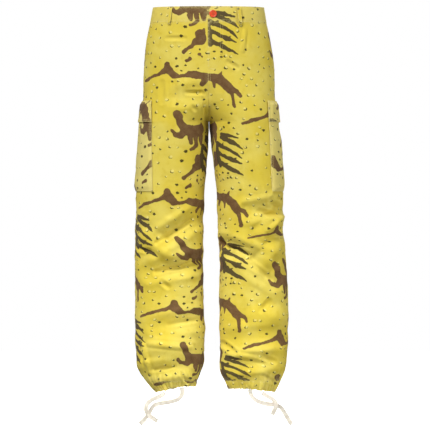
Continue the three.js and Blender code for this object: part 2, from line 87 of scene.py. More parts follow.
# The largest folds: face, start x z, end x z, width, depth. A negative depth is a trough.
FOLDS = [
    ("front", -25, -573, -146, -650, 26, -8), ("front", -172, -632, -85, -692, 24, 6),
    ("front", -25, -703, -160, -729, 26, -8), ("front", -25, -857, -140, -879, 26, -6),
    ("front", -60, -931, -165, -938, 24, 5), ("front", -173, -1003, -60, -984, 22, -6),
    ("front", -14, -237, -90, -250, 26, -4), ("front", 198, -546, 105, -564, 24, -7),
    ("front", 192, -579, 150, -622, 22, 6), ("front", 40, -655, 160, -702, 26, -8),
    ("front", 190, -656, 136, -724, 24, 6), ("front", 112, -706, 178, -754, 26, -7),
    ("front", 132, -851, 206, -851, 28, 6), ("front", 60, -915, 195, -905, 26, -5),
    ("front", 60, -985, 186, -968, 22, -5), ("back", -10, -322, -150, -372, 28, -6),
    ("back", 12, -330, 158, -384, 28, -6), ("back", -30, -590, -185, -560, 28, -8),
    ("back", -28, -648, -178, -672, 26, -8), ("back", -40, -860, -180, -882, 28, -6),
    ("back", -32, -962, -160, -972, 24, -5), ("back", 40, -572, 196, -602, 28, -8),
    ("back", 44, -662, 188, -640, 26, -8), ("back", 50, -846, 204, -872, 28, -6),
    ("back", 54, -950, 196, -936, 24, -5),
]
# Smaller creases that lie between them, in the same columns
CREASES = [
    ("front", -201, -664, -162, -672, 7, -2.2), ("front", -129, -755, -113, -769, 8, -2.5),
    ("front", -162, -925, -52, -936, 9, 2.4), ("front", -179, -931, -165, -1005, 8, 2.4),
    ("front", -77, -1008, -62, -1030, 6, -2), ("front", -58, -1002, -50, -1030, 6, 1.8),
    ("front", -45, -1000, -38, -1026, 6, -2), ("front", -40, -584, -140, -648, 9, -3),
    ("front", -165, -650, -100, -690, 11, 1.2), ("front", -22, -700, -150, -729, 8, -3.6),
    ("front", -30, -860, -110, -872, 8, -1.8), ("front", -160, -1000, -95, -990, 7, -2),
    ("front", 203, -500, 183, -512, 9, -2.4), ("front", 203, -563, 165, -571, 9, -2.6),
    ("front", 179, -532, 203, -543, 9, 2.8), ("front", 140, -562, 190, -573, 9, -3.4),
    ("front", 190, -579, 160, -615, 7, 2.8), ("front", 30, -642, 41, -663, 7, -2.4),
    ("front", 41, -663, 66, -664, 7, -3), ("front", 66, -664, 105, -681, 8, -2.8),
    ("front", 165, -807, 143, -835, 8, -2.2), ("front", 36, -925, 71, -950, 9, -2.8),
    ("front", 146, -961, 181, -975, 8, -2.6), ("front", 146, -1013, 176, -1030, 7, -2.2),
    ("front", 60, -955, 150, -969, 9, 2.2), ("front", 120, -712, 172, -748, 9, -2.4),
    ("front", -115, -87, -66, -88, 7, -1.4), ("front", -129, -208, -128, -262, 9, -1.4),
    ("front", -91, -212, -93, -265, 9, -1.4), ("front", -60, -237, -14, -238, 7, -2.2),
    ("front", -14, -243, -8, -307, 6, -1.8), ("front", -44, -276, -38, -283, 7, -1.8),
    ("front", 99, -67, 93, -122, 7, 1.3), ("front", 52, -153, 77, -169, 8, -1.8),
    ("back", -20, -336, -118, -378, 8, -2.2), ("back", 24, -348, 130, -384, 8, -2.2),
    ("back", -150, -322, -178, -286, 9, 2), ("back", 40, -300, 20, -262, 8, -1.8),
    ("back", -45, -596, -150, -574, 8, -2.6), ("back", -48, -614, -160, -628, 12, 1.2),
    ("back", -40, -654, -150, -668, 8, -2.6), ("back", -60, -700, -120, -716, 9, -2),
    ("back", 56, -578, 170, -598, 8, -2.6), ("back", 60, -622, 172, -616, 12, 1.2),
    ("back", 58, -658, 160, -646, 8, -2.6), ("back", 96, -704, 170, -724, 9, -2),
    ("back", -60, -868, -150, -880, 8, -2), ("back", 70, -850, 170, -866, 8, -2),
    ("back", -150, -918, -60, -926, 9, 2), ("back", 84, -900, 190, -910, 9, 2),
    ("back", -46, -966, -120, -970, 7, -2), ("back", 76, -946, 150, -940, 7, -2),
]


def ease(t):
    t = np.clip(t, 0, 1)
    return t * t * (3 - 2 * t)


def signed_power(value, power):
    return np.sign(value) * np.abs(value) ** power


def arc_across(points):
    """Arc length along each row of a grid of points, from its first column."""
    steps = np.linalg.norm(np.diff(points, axis=1), axis=-1)
    return np.concatenate([np.zeros((len(points), 1)), np.cumsum(steps, axis=1)], axis=1)


def along_line(steps, arc, values):
    """Values in rows along a line, read at the given arc lengths."""
    return np.stack([np.interp(steps, arc, values[:, k]) for k in range(3)], 1)


def section_value(key, z):
    """A column of the section table at any height, on a smooth curve through its rows."""
    heights, column = SECTIONS[:, 0], SECTIONS[:, SECTION_COLUMNS.index(key)]
    last = len(heights) - 1
    row = np.clip(np.searchsorted(-heights, -z, side="left") - 1, 0, last - 1)
    before, after = np.clip(row - 1, 0, last), np.clip(row + 2, 0, last)
    span = heights[row + 1] - heights[row]
    t = (z - heights[row]) / span
    slope_in = (column[row + 1] - column[before]) / (heights[row + 1] - heights[before]) * span
    slope_out = (column[after] - column[row]) / (heights[after] - heights[row]) * span
    return ((2 * t**3 - 3 * t**2 + 1) * column[row] + (t**3 - 2 * t**2 + t) * slope_in
            + (3 * t**2 - 2 * t**3) * column[row + 1] + (t**3 - t**2) * slope_out)


def leg_section(side, z):
    """Half width, centre from the body's middle, middle depth and half depth of one leg."""
    leg = "left" if side > 0 else "right"
    z = np.asarray(z, float)
    out, front, back = (section_value(k, z) for k in (leg + "_out", "front", "back"))
    parting = np.maximum(0, (FLY_END - z) / (FLY_END - CROTCH)) ** CROTCH_CURVE
    inner = np.maximum(section_value(leg + "_in", z), LEG_GAP + (CROTCH - z) * LEG_GAP_SLOPE)
    half = np.where(z >= CROTCH, out / (1 + parting), (out - inner) / 2)
    centre = np.where(z >= CROTCH, parting * half, (out + inner) / 2)
    return half, centre, (front + back) / 2, (back - front) / 2


def seam_start(side, z, plane_x):
    """Degrees from the front at which a section meets the centre plane or the inside seam."""
    half, centre, _, _ = leg_section(side, z)
    reach = np.maximum(-1, (side * plane_x + SEAM_GAP / 2 - centre) / half)
    return np.degrees(np.arcsin(signed_power(reach, ROUNDNESS / 2)))


def front_deg(x, z):
    half = leg_section(1, z)[0]
    return np.degrees(np.arcsin(signed_power(x / half, ROUNDNESS / 2)))


def plain_point(side, deg, z):
    half, centre, middle, depth = leg_section(side, z)
    turn = np.radians(deg)
    across = signed_power(np.sin(turn), 2 / ROUNDNESS)
    facing = signed_power(np.cos(turn), 2 / ROUNDNESS)
    x, y = side * (centre + half * across), middle - depth * facing
    return np.stack(np.broadcast_arrays(x, y, z), -1).astype(float)


def plain_normal(side, deg, z):
    around = plain_point(side, deg + 0.5, z) - plain_point(side, deg - 0.5, z)
    up = plain_point(side, deg, z + 1) - plain_point(side, deg, z - 1)
    normal = np.cross(around, up) * side
    return normal / np.linalg.norm(normal, axis=-1, keepdims=True)


def lattice_noise(places, size, seed):
    """Smooth noise from -1 to 1 at places in space, whose swells are about size across."""
    grid = np.random.default_rng(seed).uniform(-1, 1, (32, 32, 32))
    scaled = np.asarray(places) / size
    cell = np.floor(scaled).astype(int)
    share = scaled - cell
    share = share * share * (3 - 2 * share)
    total = 0
    for corner in np.ndindex(2, 2, 2):
        weight = np.prod(np.where(corner, share, 1 - share), axis=-1)
        at = (cell + corner) % 32
        total = total + weight * grid[at[..., 0], at[..., 1], at[..., 2]]
    return total


# Rows, height of the rims beside a fold, and how much deeper than its row says a fold is
FOLD_TABLES = ((FOLDS, 0.38, 1.42), (CREASES, 0.33, 2.2))
FRONT_DEEPER = 1.22
FOLD_CORE, FOLD_RIM, FOLD_RIM_AT, FOLD_REACH = 1.6, 6.0, 1.25, 2.2
SIDE_FADE_FROM, SIDE_FADE_OVER = -0.1, 0.4


def fold_height(x, z, facing):
    """How far the folds lift or sink the cloth at a place on the front or back."""
    height = np.zeros(np.broadcast(x, z, facing).shape)
    for table, rim, deepen in FOLD_TABLES:
        for face, x0, z0, x1, z1, width, depth in table:
            fade = ease(((facing if face == "front" else -facing) - SIDE_FADE_FROM) / SIDE_FADE_OVER)
            along_x, along_z = x1 - x0, z1 - z0
            t = ((x - x0) * along_x + (z - z0) * along_z) / (along_x**2 + along_z**2)
            t = np.clip(t, 0, 1)
            q = np.hypot(x - x0 - t * along_x, z - z0 - t * along_z) / width
            core = np.exp(-FOLD_CORE * q * q)
            edge = rim * np.exp(-FOLD_RIM * (q - FOLD_RIM_AT) ** 2)
            swell = 0.55 + 0.45 * np.sin(np.pi * t)
            gain = deepen * (FRONT_DEEPER if face == "front" else 1)
            height += np.where(q < FOLD_REACH, fade * gain * depth * (core - edge) * swell, 0)
    return height


KNEE, KNEE_SPREAD = -650.0, 150.0
SHIN_FOOT, HIP_TOP = -880.0, -60.0
HEM_GATHER_TOP = -985.0


def rumple(point):
    """Small unevenness of washed cloth, a little more at the knees and above the hems."""
    z = point[..., 2]
    loose = 0.35 + 0.65 * np.exp(-(((z - KNEE) / KNEE_SPREAD) ** 2)) + 0.5 * ease((SHIN_FOOT - z) / 120)
    loose = loose * ease((HIP_TOP - z) / 60) + 0.15
    stretched = point * np.array([1, 1, 1.9])
    wide = lattice_noise(stretched, 62, 11)
    small = lattice_noise(point * np.array([1, 1, 1.5]), 21, 12)
    creased = 1 - 2 * np.abs(lattice_noise(stretched, 34, 13))
    return loose * (1.5 * wide + 0.5 * small + 0.7 * creased)


def hem_gather(side, deg, z):
    """Small puckers that run up from the drawn hem and die out above it."""
    near = ease((z - HEM_GATHER_TOP) / (TUNNEL_TOP - HEM_GATHER_TOP)) * (z < HEM_GATHER_TOP)
    wave = np.sin(np.radians(23 * deg + 40 * side)) + 0.6 * np.sin(np.radians(37 * deg + 10))
    return near * wave


def cloth_point(side, deg, z, out):
    """A point of the cloth, moved out from its outer face."""
    point = plain_point(side, deg, z)
    height = fold_height(point[..., 0], z, np.cos(np.radians(deg)))
    height = height + rumple(point) + hem_gather(side, deg, z)
    return point + plain_normal(side, deg, z) * (height + out)[..., None]


# The printed cloth
# A cloth place is (across, down) in millimetres. The print is a general desert camouflage: brown
# limbs and rounded blobs, dark splayed claws and pebbles with a pale edge. Each mark is drawn
# as chains of round strokes (across, down, radius), measured from its repeat's corner.
REPEAT_STEP = np.array([[300.0, 118.0], [0.0, 333.0]])
REPEAT_CORNER = np.array([-214.0, 205.0])
HEM_SLACK = 1.1
# How far the folds take up the cloth above each height, and how far the grain leans out with the
# leg: side, height, taken up, lean
GRAIN = [
    (1, -250, 0, 0), (1, -408, 0, 12), (1, -612, 7, 20), (1, -662, 38, 23), (1, -700, 44, 25),
    (1, -900, 50, 14), (1, -938, 51, 8), (1, -1006, 68, 34), (1, -1060, 75, 38),
    (-1, -200, 0, 0), (-1, -287, -3, 0), (-1, -511, -14, 0), (-1, -635, -15, 4),
    (-1, -690, -9, 20), (-1, -740, 2, 34), (-1, -790, 12, 22), (-1, -830, 18, 16),
    (-1, -924, 29, 17), (-1, -1060, 42, 17),
]

BROWN_MARKS = [
    [(0, 0, 3.3), (27, -9, 5), (57, -16, 4.2), (79, -23, 5), (96, -32, 10), (105, -27.5, 12.5),
     (116, -16.5, 11), (131, -13, 5), (147, -15, 4.2), (162, -18, 9), (182.6, -15.4, 11),
     (208, -12, 10), (223.6, -9.6, 12), (241.5, -5.2, 13), (259.3, 7.7, 13), (272.3, 23, 12.5)],
    [(103, -30, 11), (98.5, -42.6, 10)],
    [(205.7, -5.5, 8), (195.3, 7.7, 7.2)],
    [(227.7, 2.8, 5.5), (228.8, 17.9, 2.5)],
    [(242.8, -13.8, 5), (249, -25.6, 2)],
    [(272.3, 23, 9), (278.9, 44, 4.6), (282.7, 68.8, 5.2)],
    [(275.8, 22, 8), (291, 27.5, 6), (300.3, 41.3, 4.4)],
    [(126, 86.6, 10.5), (132.8, 96.3, 10), (135.6, 111.4, 9), (150.7, 127.9, 14.5),
     (170, 132, 16.5), (189.2, 130.6, 15.5), (204.3, 126.5, 14), (205.7, 111.4, 4)],
    [(112, 130.6, 5), (121.8, 141.6, 6), (137, 144.4, 8.5), (150.7, 127.9, 14)],
    [(164.5, 150, 8.5), (168, 162.3, 6)],
    [(183.7, 151, 8), (186.5, 166.4, 6), (178.2, 176, 5), (165.8, 179.9, 4)],
    [(203, 145.8, 10), (204.3, 165, 5.5)],
    [(192, 204.9, 12.5), (197.5, 220, 13.5), (181, 226.9, 10), (170, 237.9, 5.5),
     (156.2, 247, 4.4), (146.6, 253.8, 6)],
    [(203, 192.5, 3.5), (197, 206, 9)],
    [(190.6, 259.9, 4.5)],
    [(197.5, 266.8, 3.3)],
    [(153.5, 277.8, 4.4), (164.5, 272.3, 5.5)],
]
DARK_MARKS = [
    [(212, 172, 6), (211, 188, 8), (211, 204, 8.5), (214, 220, 9), (219, 231, 8)],
    [(233, 146, 5), (253, 149, 6), (286, 157, 1.7)],
    [(229, 154, 4), (253, 162, 5.4), (270, 168, 6), (283, 176, 4), (296, 187, 1.5)],
    [(214.5, 170, 7), (235, 179, 6), (258, 188, 4.6), (277, 200, 5), (293, 214, 1.6)],
    [(216.8, 196, 6), (240, 206, 5), (262, 216, 6.6), (274, 221, 4.4), (290, 226, 1.7)],
    [(216, 223, 8), (237, 231, 6.4), (254, 240, 6.4), (267, 247, 6.6), (278, 251, 4.6),
     (293, 261, 1.6)],
    [(226, 178, 4), (239, 169, 2.4)],
    [(262, 216, 4), (275, 211, 1.6)],
    [(237, 231, 3.6), (249, 225, 1.8)],
]
# Marks that a panel's cut adds near its outer edge: panel, marks, corner of their repeat
OUTER_MARKS = [
    ("front_right", "dark", -457, 415), ("front_right", "dark", -496, 736),
    ("front_left", "brown", 37, 667), ("front_left", "brown", 37, 1000),
]
# The right front is another piece of cloth, whose print has no claws beside the fly
CLAWLESS_AT_FLY = ("front_right", "waistband_right")
FLY_CLEAR = 60.0
PEBBLE_COUNT, PEBBLE_TRIES = 92, 4000
PEBBLE_SPACING, PEBBLE_CLEAR = 15.0, 7.0
# Distances in the print are told up to this far from a mark
FAR_FROM_MARKS = 60.0
WANDER = 1.5


def into_repeat(places):
    """Places brought into the one repeat that lies between 0 and its steps."""
    across_step, down_step = REPEAT_STEP[0, 0], REPEAT_STEP[1, 1]
    local = places - REPEAT_CORNER
    turns = np.floor(local[..., 0] / across_step)
    local = local - turns[..., None] * REPEAT_STEP[0]
    drops = np.floor(local[..., 1] / down_step)
    return local - drops[..., None] * REPEAT_STEP[1]


def stroke_distance(local, marks, melt=1.4, repeated=True):
    """Distance to the edge of the strokes, repeated all over, negative inside them."""
    best = np.full(local.shape[:-1], FAR_FROM_MARKS)
    copies = (-1, 0, 1) if repeated else (0,)
    for i in copies:
        for j in copies:
            shift = i * REPEAT_STEP[0] + j * REPEAT_STEP[1]
            for chain in marks:
                for (x0, y0, r0), (x1, y1, r1) in zip(chain, chain[1:] or chain):
                    low = np.minimum((x0, y0), (x1, y1)) + shift - 40
                    high = np.maximum((x0, y0), (x1, y1)) + shift + 40
                    near = np.all((local > low) & (local < high), axis=-1)
                    if not near.any():
                        continue
                    from_start = local[near] - shift - (x0, y0)
                    along = np.array([x1 - x0, y1 - y0])
                    t = np.clip(from_start @ along / max(along @ along, 1e-9), 0, 1)
                    gap = np.linalg.norm(from_start - t[:, None] * along, axis=1)
                    gap -= r0 + t * (r1 - r0)
                    had = best[near]
                    mix = np.maximum(melt - np.abs(had - gap), 0) / melt
                    best[near] = np.minimum(had, gap) - mix * mix * melt / 4
    return best


def scatter_pebbles():
    """Pebble places in one repeat, evenly strewn and clear of the brown marks."""
    rng = np.random.default_rng(7)
    tries = rng.uniform((0, 0), np.diag(REPEAT_STEP), (PEBBLE_TRIES, 2))
    marks = np.minimum(stroke_distance(tries, BROWN_MARKS), stroke_distance(tries, DARK_MARKS))
    copies = [i * REPEAT_STEP[0] + j * REPEAT_STEP[1] for i in (-1, 0, 1) for j in (-1, 0, 1)]
    kept = []
    for place, clear in zip(tries, marks):
        if clear < PEBBLE_CLEAR or len(kept) >= PEBBLE_COUNT:
            continue
        gaps = [np.hypot(*(place + c - k)) for k in kept for c in copies]
        if not gaps or min(gaps) > PEBBLE_SPACING * rng.uniform(0.75, 1.35):
            kept.append(place)
    return np.array([k + c for k in kept for c in copies])


PEBBLES = scatter_pebbles()


def print_marks(places, panel=""):
    """What the print does at cloth places: distances to its marks, and the nearest pebble."""
    deep = np.concatenate([places, np.zeros(places.shape[:-1] + (1,))], -1)
    wander = np.stack([lattice_noise(deep, 9, s) + 0.8 * lattice_noise(deep, 19, s + 1)
                       for s in (21, 23)], -1)
    printed = places + WANDER * wander
    local = into_repeat(printed)
    brown = stroke_distance(local, BROWN_MARKS)
    dark = stroke_distance(local, DARK_MARKS)
    for name, kind, across, down in OUTER_MARKS:
        if not panel.startswith(name):
            continue
        moved = printed - (across, down)
        if kind == "dark":
            dark = np.minimum(dark, stroke_distance(moved, DARK_MARKS, repeated=False))
        else:
            brown = np.minimum(brown, stroke_distance(moved, BROWN_MARKS[7:11], repeated=False))
    if panel.startswith(CLAWLESS_AT_FLY):
        at_fly = (np.abs(places[..., 0]) < FLY_CLEAR) & (places[..., 1] < -CROTCH)
        dark = np.where(at_fly, FAR_FROM_MARKS, dark)
    local = into_repeat(places)
    nearest = np.full(local.shape[:-1], 1e9)
    offset = np.zeros(local.shape)
    tone = np.zeros(local.shape[:-1])
    inside = np.all((PEBBLES > -30) & (PEBBLES < np.diag(REPEAT_STEP) + 30), 1)
    for number, pebble in enumerate(PEBBLES[inside]):
        away = local - pebble
        gap = np.linalg.norm(away, axis=-1)
        closer = gap < nearest
        nearest[closer], offset[closer] = gap[closer], away[closer]
        tone[closer] = (number * 0.377) % 1
    return {"brown": brown, "dark": dark, "pebble_x": offset[..., 0], "pebble_y": offset[..., 1],
            "pebble_gap": nearest, "pebble_tone": tone}


def cloth_places(side, points, deg, z, zero_deg, offset):
    """Where on the bolt each point of a grid lies: arc length across, height down."""
    arc = arc_across(points[..., :2])
    for row in range(len(points)):
        order = np.argsort(deg[row])
        arc[row] -= np.interp(zero_deg, deg[row][order], arc[row][order])
    centre = leg_section(side, z)[1]
    turn = 1 if zero_deg == 0 else -1
    arc = arc * np.sign(deg[:, -1:] - deg[:, :1])
    heights, taken, lean = np.array([row[1:] for row in GRAIN if row[0] == side], float)[::-1].T
    across = side * (turn * centre + arc) - turn * np.interp(z, heights, lean) + offset[0]
    down = -z + np.interp(z, heights, taken) + offset[1]
    return np.stack([across, down], -1)


# Making meshes
def made_mesh(name, vertices, faces):
    mesh = bpy.data.meshes.new(name)
    mesh.from_pydata((np.asarray(vertices) * MM).tolist(), [], faces)
    piece = bpy.data.objects.new(name, mesh)
    bpy.context.scene.collection.objects.link(piece)
    return piece


def map_corners(piece, layer, flat):
    """A UV map, from one place in metres for each vertex."""
    mesh = piece.data
    corner = np.zeros(len(mesh.loops), np.int32)
    mesh.loops.foreach_get("vertex_index", corner)
    mesh.uv_layers.new(name=layer).data.foreach_set("uv", flat[corner].astype(np.float32).ravel())


def in_edit_mode(piece, *steps):
    """Runs the operators on all of a piece in edit mode."""
    bpy.context.view_layer.objects.active = piece
    piece.select_set(True)
    bpy.ops.object.mode_set(mode="EDIT")
    bpy.ops.mesh.select_all(action="SELECT")
    for step in steps:
        step()
    bpy.ops.object.mode_set(mode="OBJECT")
    piece.select_set(False)


def dress(piece, material, degrees):
    """Gives a piece its material and smooth shading, and fixes it to the trousers."""
    piece.data.materials.append(material)
    bpy.context.view_layer.objects.active = piece
    piece.select_set(True)
    bpy.ops.object.shade_smooth_by_angle(angle=math.radians(degrees))
    piece.select_set(False)
    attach(piece, "root")


SHELLS = {}


def cloth_shell(name, outer, inner, places, worn, ring=False, washed=0.0):
    """A closed thin shell of cloth between two grids of points, with its print and its wear."""
    rows, across = outer.shape[0] - 1, outer.shape[1]
    columns = across if ring else across - 1
    count = outer.shape[0] * across
    i, j = (grid.ravel() for grid in np.meshgrid(np.arange(columns), np.arange(rows)))

    def at(column, row, layer):
        return layer * count + row * across + column % across

    def quads(*corners):
        return np.stack([at(*corner) for corner in corners], 1)

    c, r = np.arange(columns), np.arange(rows)
    faces = [quads((i, j, 0), (i, j + 1, 0), (i + 1, j + 1, 0), (i + 1, j, 0)),
             quads((i, j, 1), (i + 1, j, 1), (i + 1, j + 1, 1), (i, j + 1, 1)),
             quads((c, 0, 0), (c + 1, 0, 0), (c + 1, 0, 1), (c, 0, 1)),
             quads((c, rows, 0), (c, rows, 1), (c + 1, rows, 1), (c + 1, rows, 0))]
    if not ring:
        faces.append(quads((0, r, 0), (0, r, 1), (0, r + 1, 1), (0, r + 1, 0)))
        faces.append(quads((columns, r, 0), (columns, r + 1, 0), (columns, r + 1, 1), (columns, r, 1)))
    faces = np.concatenate(faces)
    vertices = np.concatenate([outer.reshape(-1, 3), inner.reshape(-1, 3)])
    first = faces[: columns * rows]
    a, b, d = (vertices[first[:, k]] for k in (0, 1, 3))
    facing = np.einsum("ij,ij->i", np.cross(b - a, d - a), a - vertices[first[:, 0] + count])
    if np.sum(facing) < 0:
        faces = faces[:, ::-1]
    piece = made_mesh(name + "_cloth", vertices, faces.tolist())
    marks = print_marks(places, name)
    marks |= {"worn": worn, "washed": washed + 0 * worn}
    marks = {key: np.tile(values.ravel(), 2) for key, values in marks.items()}
    marks["reverse"] = np.repeat((0, 1), count)
    for key, values in marks.items():
        attribute = piece.data.attributes.new(key, "FLOAT", "POINT")
        attribute.data.foreach_set("value", values.astype(np.float32))
    map_corners(piece, "cloth", np.tile(places.reshape(-1, 2), (2, 1)) * MM)
    dress(piece, TWILL_PRINT, 50)
    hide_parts(name)
    SHELLS[name] = outer, inner


# Materials
class Nodes:
    """A short hand for building one material's nodes."""

    def __init__(self, name):
        self.material = bpy.data.materials.new(name)
        self.material.use_nodes = True
        self.tree = self.material.node_tree
        self.shader = self.tree.nodes["Principled BSDF"]

    def put(self, socket, value):
        if isinstance(value, bpy.types.NodeSocket):
            self.tree.links.new(value, socket)
        else:
            socket.default_value = value

    def math(self, operation, a, b=0.0, c=0.0, clamp=False):
        node = self.tree.nodes.new("ShaderNodeMath")
        node.operation, node.use_clamp = operation, clamp
        for socket, value in zip(node.inputs, (a, b, c)):
            self.put(socket, value)
        return node.outputs[0]

    def ramp(self, value, low, high, out_low=0.0, out_high=1.0):
        node = self.tree.nodes.new("ShaderNodeMapRange")
        node.interpolation_type = "SMOOTHSTEP"
        for socket, item in zip(node.inputs, (value, low, high, out_low, out_high)):
            self.put(socket, item)
        return node.outputs[0]

    def times(self, a, b):
        return self.math("MULTIPLY", a, b)

    def plus(self, a, b):
        return self.math("ADD", a, b)

    def mix(self, share, a, b):
        node = self.tree.nodes.new("ShaderNodeMix")
        node.data_type = "RGBA"
        self.put(node.inputs[0], share)
        self.put(node.inputs[6], a if isinstance(a, bpy.types.NodeSocket) else (*a, 1))
        self.put(node.inputs[7], b if isinstance(b, bpy.types.NodeSocket) else (*b, 1))
        return node.outputs[2]

    def attribute(self, name):
        node = self.tree.nodes.new("ShaderNodeAttribute")
        node.attribute_name = name
        return node.outputs["Fac"]

    def noise(self, vector, scale, detail=2.0, rough=0.5):
        node = self.tree.nodes.new("ShaderNodeTexNoise")
        self.put(node.inputs["Vector"], vector)
        self.put(node.inputs["Scale"], scale)
        self.put(node.inputs["Detail"], detail)
        self.put(node.inputs["Roughness"], rough)
        return node.outputs[0]

    def object_place(self):
        return self.tree.nodes.new("ShaderNodeTexCoord").outputs["Object"]

    def uv_place(self, name):
        node = self.tree.nodes.new("ShaderNodeUVMap")
        node.uv_map = name
        return node.outputs[0]

    def parts(self, vector):
        node = self.tree.nodes.new("ShaderNodeSeparateXYZ")
        self.put(node.inputs[0], vector)
        return node.outputs

    def fixed(self, **values):
        """Constant values of the shader, by their names with _ for a space."""
        for key, value in values.items():
            self.shader.inputs[key.replace("_", " ")].default_value = value

    def bump(self, height, distance, strength=1.0):
        node = self.tree.nodes.new("ShaderNodeBump")
        self.put(node.inputs["Height"], height)
        node.inputs["Distance"].default_value = distance
        node.inputs["Strength"].default_value = strength
        self.put(self.shader.inputs["Normal"], node.outputs[0])


YELLOW = (0.67, 0.52, 0.05)
YELLOW_FADED = (0.71, 0.585, 0.105)
YELLOW_DEEP = (0.59, 0.43, 0.026)
BROWN = (0.105, 0.045, 0.022)
BROWN_WORN = (0.15, 0.075, 0.034)
DARK_OLIVE = (0.062, 0.041, 0.02)
PEBBLE_DARK = (0.032, 0.024, 0.008)
PEBBLE_PALE = (0.80, 0.71, 0.24)
WASHED = (0.73, 0.635, 0.25)
WRONG_SIDE = (0.72, 0.62, 0.26)
FIBRE_PALE = (0.8, 0.7, 0.3)


PEBBLE_RADIUS, PEBBLE_VARIES = 2.8, 2.6
DARK_PEBBLE_SHARE = 0.36
TWILL_RIBS, TWILL_SLANT = 6800, 0.72


def printed_twill():
    n = Nodes("printed_twill")
    cloth = n.uv_place("cloth")
    across, down, _ = n.parts(cloth)
    fine = n.noise(cloth, 900, 3)
    fibre = n.math("SUBTRACT", fine, 0.5)
    blotch = n.noise(n.object_place(), 9, 3, 0.55)
    haze = n.noise(cloth, 60, 3, 0.6)
    ground = n.mix(n.ramp(blotch, 0.38, 0.66), YELLOW, YELLOW_FADED)
    ground = n.mix(n.ramp(haze, 0.5, 0.75, 0, 0.4), ground, YELLOW_DEEP)
    ground = n.mix(n.times(n.attribute("washed"), 0.75), ground, WASHED)
    # pebbles: a pale chip with a dark crescent at its foot, or a dark chip alone
    px, py = n.attribute("pebble_x"), n.attribute("pebble_y")
    tone, gap = n.attribute("pebble_tone"), n.attribute("pebble_gap")
    wobble = n.math("MULTIPLY_ADD", n.noise(cloth, 300, 3, 0.62), 9.0, -4.5)
    turn = n.times(tone, 6.283)
    lean_x = n.times(n.math("COSINE", turn), 2.6)
    lean_y = n.math("MULTIPLY_ADD", n.math("SINE", turn), 1.3, 2.1)
    own_size = n.math("FRACT", n.times(tone, 7.3))
    size = n.math("MULTIPLY_ADD", own_size, PEBBLE_VARIES, PEBBLE_RADIUS)

    def reach(x, y):
        flat = n.times(y, 1.25)
        rounded = n.math("SQRT", n.plus(n.times(x, x), n.times(flat, flat)))
        return n.plus(n.math("MAXIMUM", rounded, n.times(gap, 0.75)), wobble)

    whole = n.math("SUBTRACT", reach(px, py), size)
    chip = n.math("SUBTRACT", reach(n.plus(px, lean_x), n.plus(py, lean_y)), n.times(size, 0.84))
    pale = n.times(n.ramp(chip, -0.3, 0.3, 1, 0), n.math("GREATER_THAN", tone, DARK_PEBBLE_SHARE))
    dark_chip = n.times(n.ramp(whole, -0.3, 0.3, 1, 0), n.math("SUBTRACT", 1.0, pale))
    colour = n.mix(n.times(pale, 0.6), ground, PEBBLE_PALE)
    colour = n.mix(n.times(dark_chip, 0.95), colour, PEBBLE_DARK)
    # the large marks over them
    edge = n.math("MULTIPLY_ADD", n.noise(cloth, 180, 4, 0.65), 3.4, -1.7)
    brown, dark = (n.ramp(n.plus(n.attribute(kind), edge), -0.35, 0.35, 1, 0) for kind in ("brown", "dark"))
    browns = n.mix(n.ramp(haze, 0.35, 0.7), BROWN, BROWN_WORN)
    colour = n.mix(n.times(brown, 0.96), colour, browns)
    colour = n.mix(n.times(dark, 0.96), colour, DARK_OLIVE)
    # wear along seams and edges, fibres, and the paler wrong side
    rubbed = n.times(n.attribute("worn"), n.ramp(n.noise(cloth, 140, 4, 0.65), 0.35, 0.62))
    colour = n.mix(n.times(rubbed, 0.6), colour, WASHED)
    colour = n.mix(n.math("MULTIPLY_ADD", fibre, 0.45, -0.01, clamp=True), colour, FIBRE_PALE)
    colour = n.mix(n.times(n.attribute("reverse"), 0.72), colour, WRONG_SIDE)
    n.put(n.shader.inputs["Base Color"], colour)
    n.fixed(Roughness=0.88, Specular_IOR_Level=0.16, Sheen_Weight=0.05, Sheen_Roughness=0.5)
    # twill: fine diagonal ribs, and the slight unevenness of the yarn
    diagonal = n.math("SINE", n.times(n.plus(across, n.times(down, TWILL_SLANT)), TWILL_RIBS))
    height = n.math("MULTIPLY_ADD", diagonal, 0.35, n.times(fine, 0.6))
    height = n.plus(height, n.times(n.noise(cloth, 210, 3), 1.6))
    n.bump(height, 0.00022, 0.8)
    return n.material


def cotton_tape():
    n = Nodes("cotton_tape")
    tape = n.uv_place("tape")
    across, along, _ = n.parts(tape)
    zigzag = n.math("PINGPONG", across, 0.0015)
    rib = n.math("SINE", n.times(n.plus(along, n.times(zigzag, 1.2)), 5200))
    fine = n.noise(tape, 1400, 3)
    grime = n.noise(tape, 90, 3)
    colour = n.mix(n.ramp(grime, 0.35, 0.7), (0.86, 0.81, 0.70), (0.76, 0.69, 0.56))
    colour = n.mix(n.ramp(rib, -1, 1, 0, 0.22), colour, (0.56, 0.48, 0.36))
    n.put(n.shader.inputs["Base Color"], colour)
    n.fixed(Roughness=0.92, Specular_IOR_Level=0.2, Sheen_Weight=0.25)
    n.bump(n.math("MULTIPLY_ADD", rib, 0.5, fine), 0.0003, 0.9)
    return n.material


TWILL_PRINT = printed_twill()
TAPE_COTTON = cotton_tape()

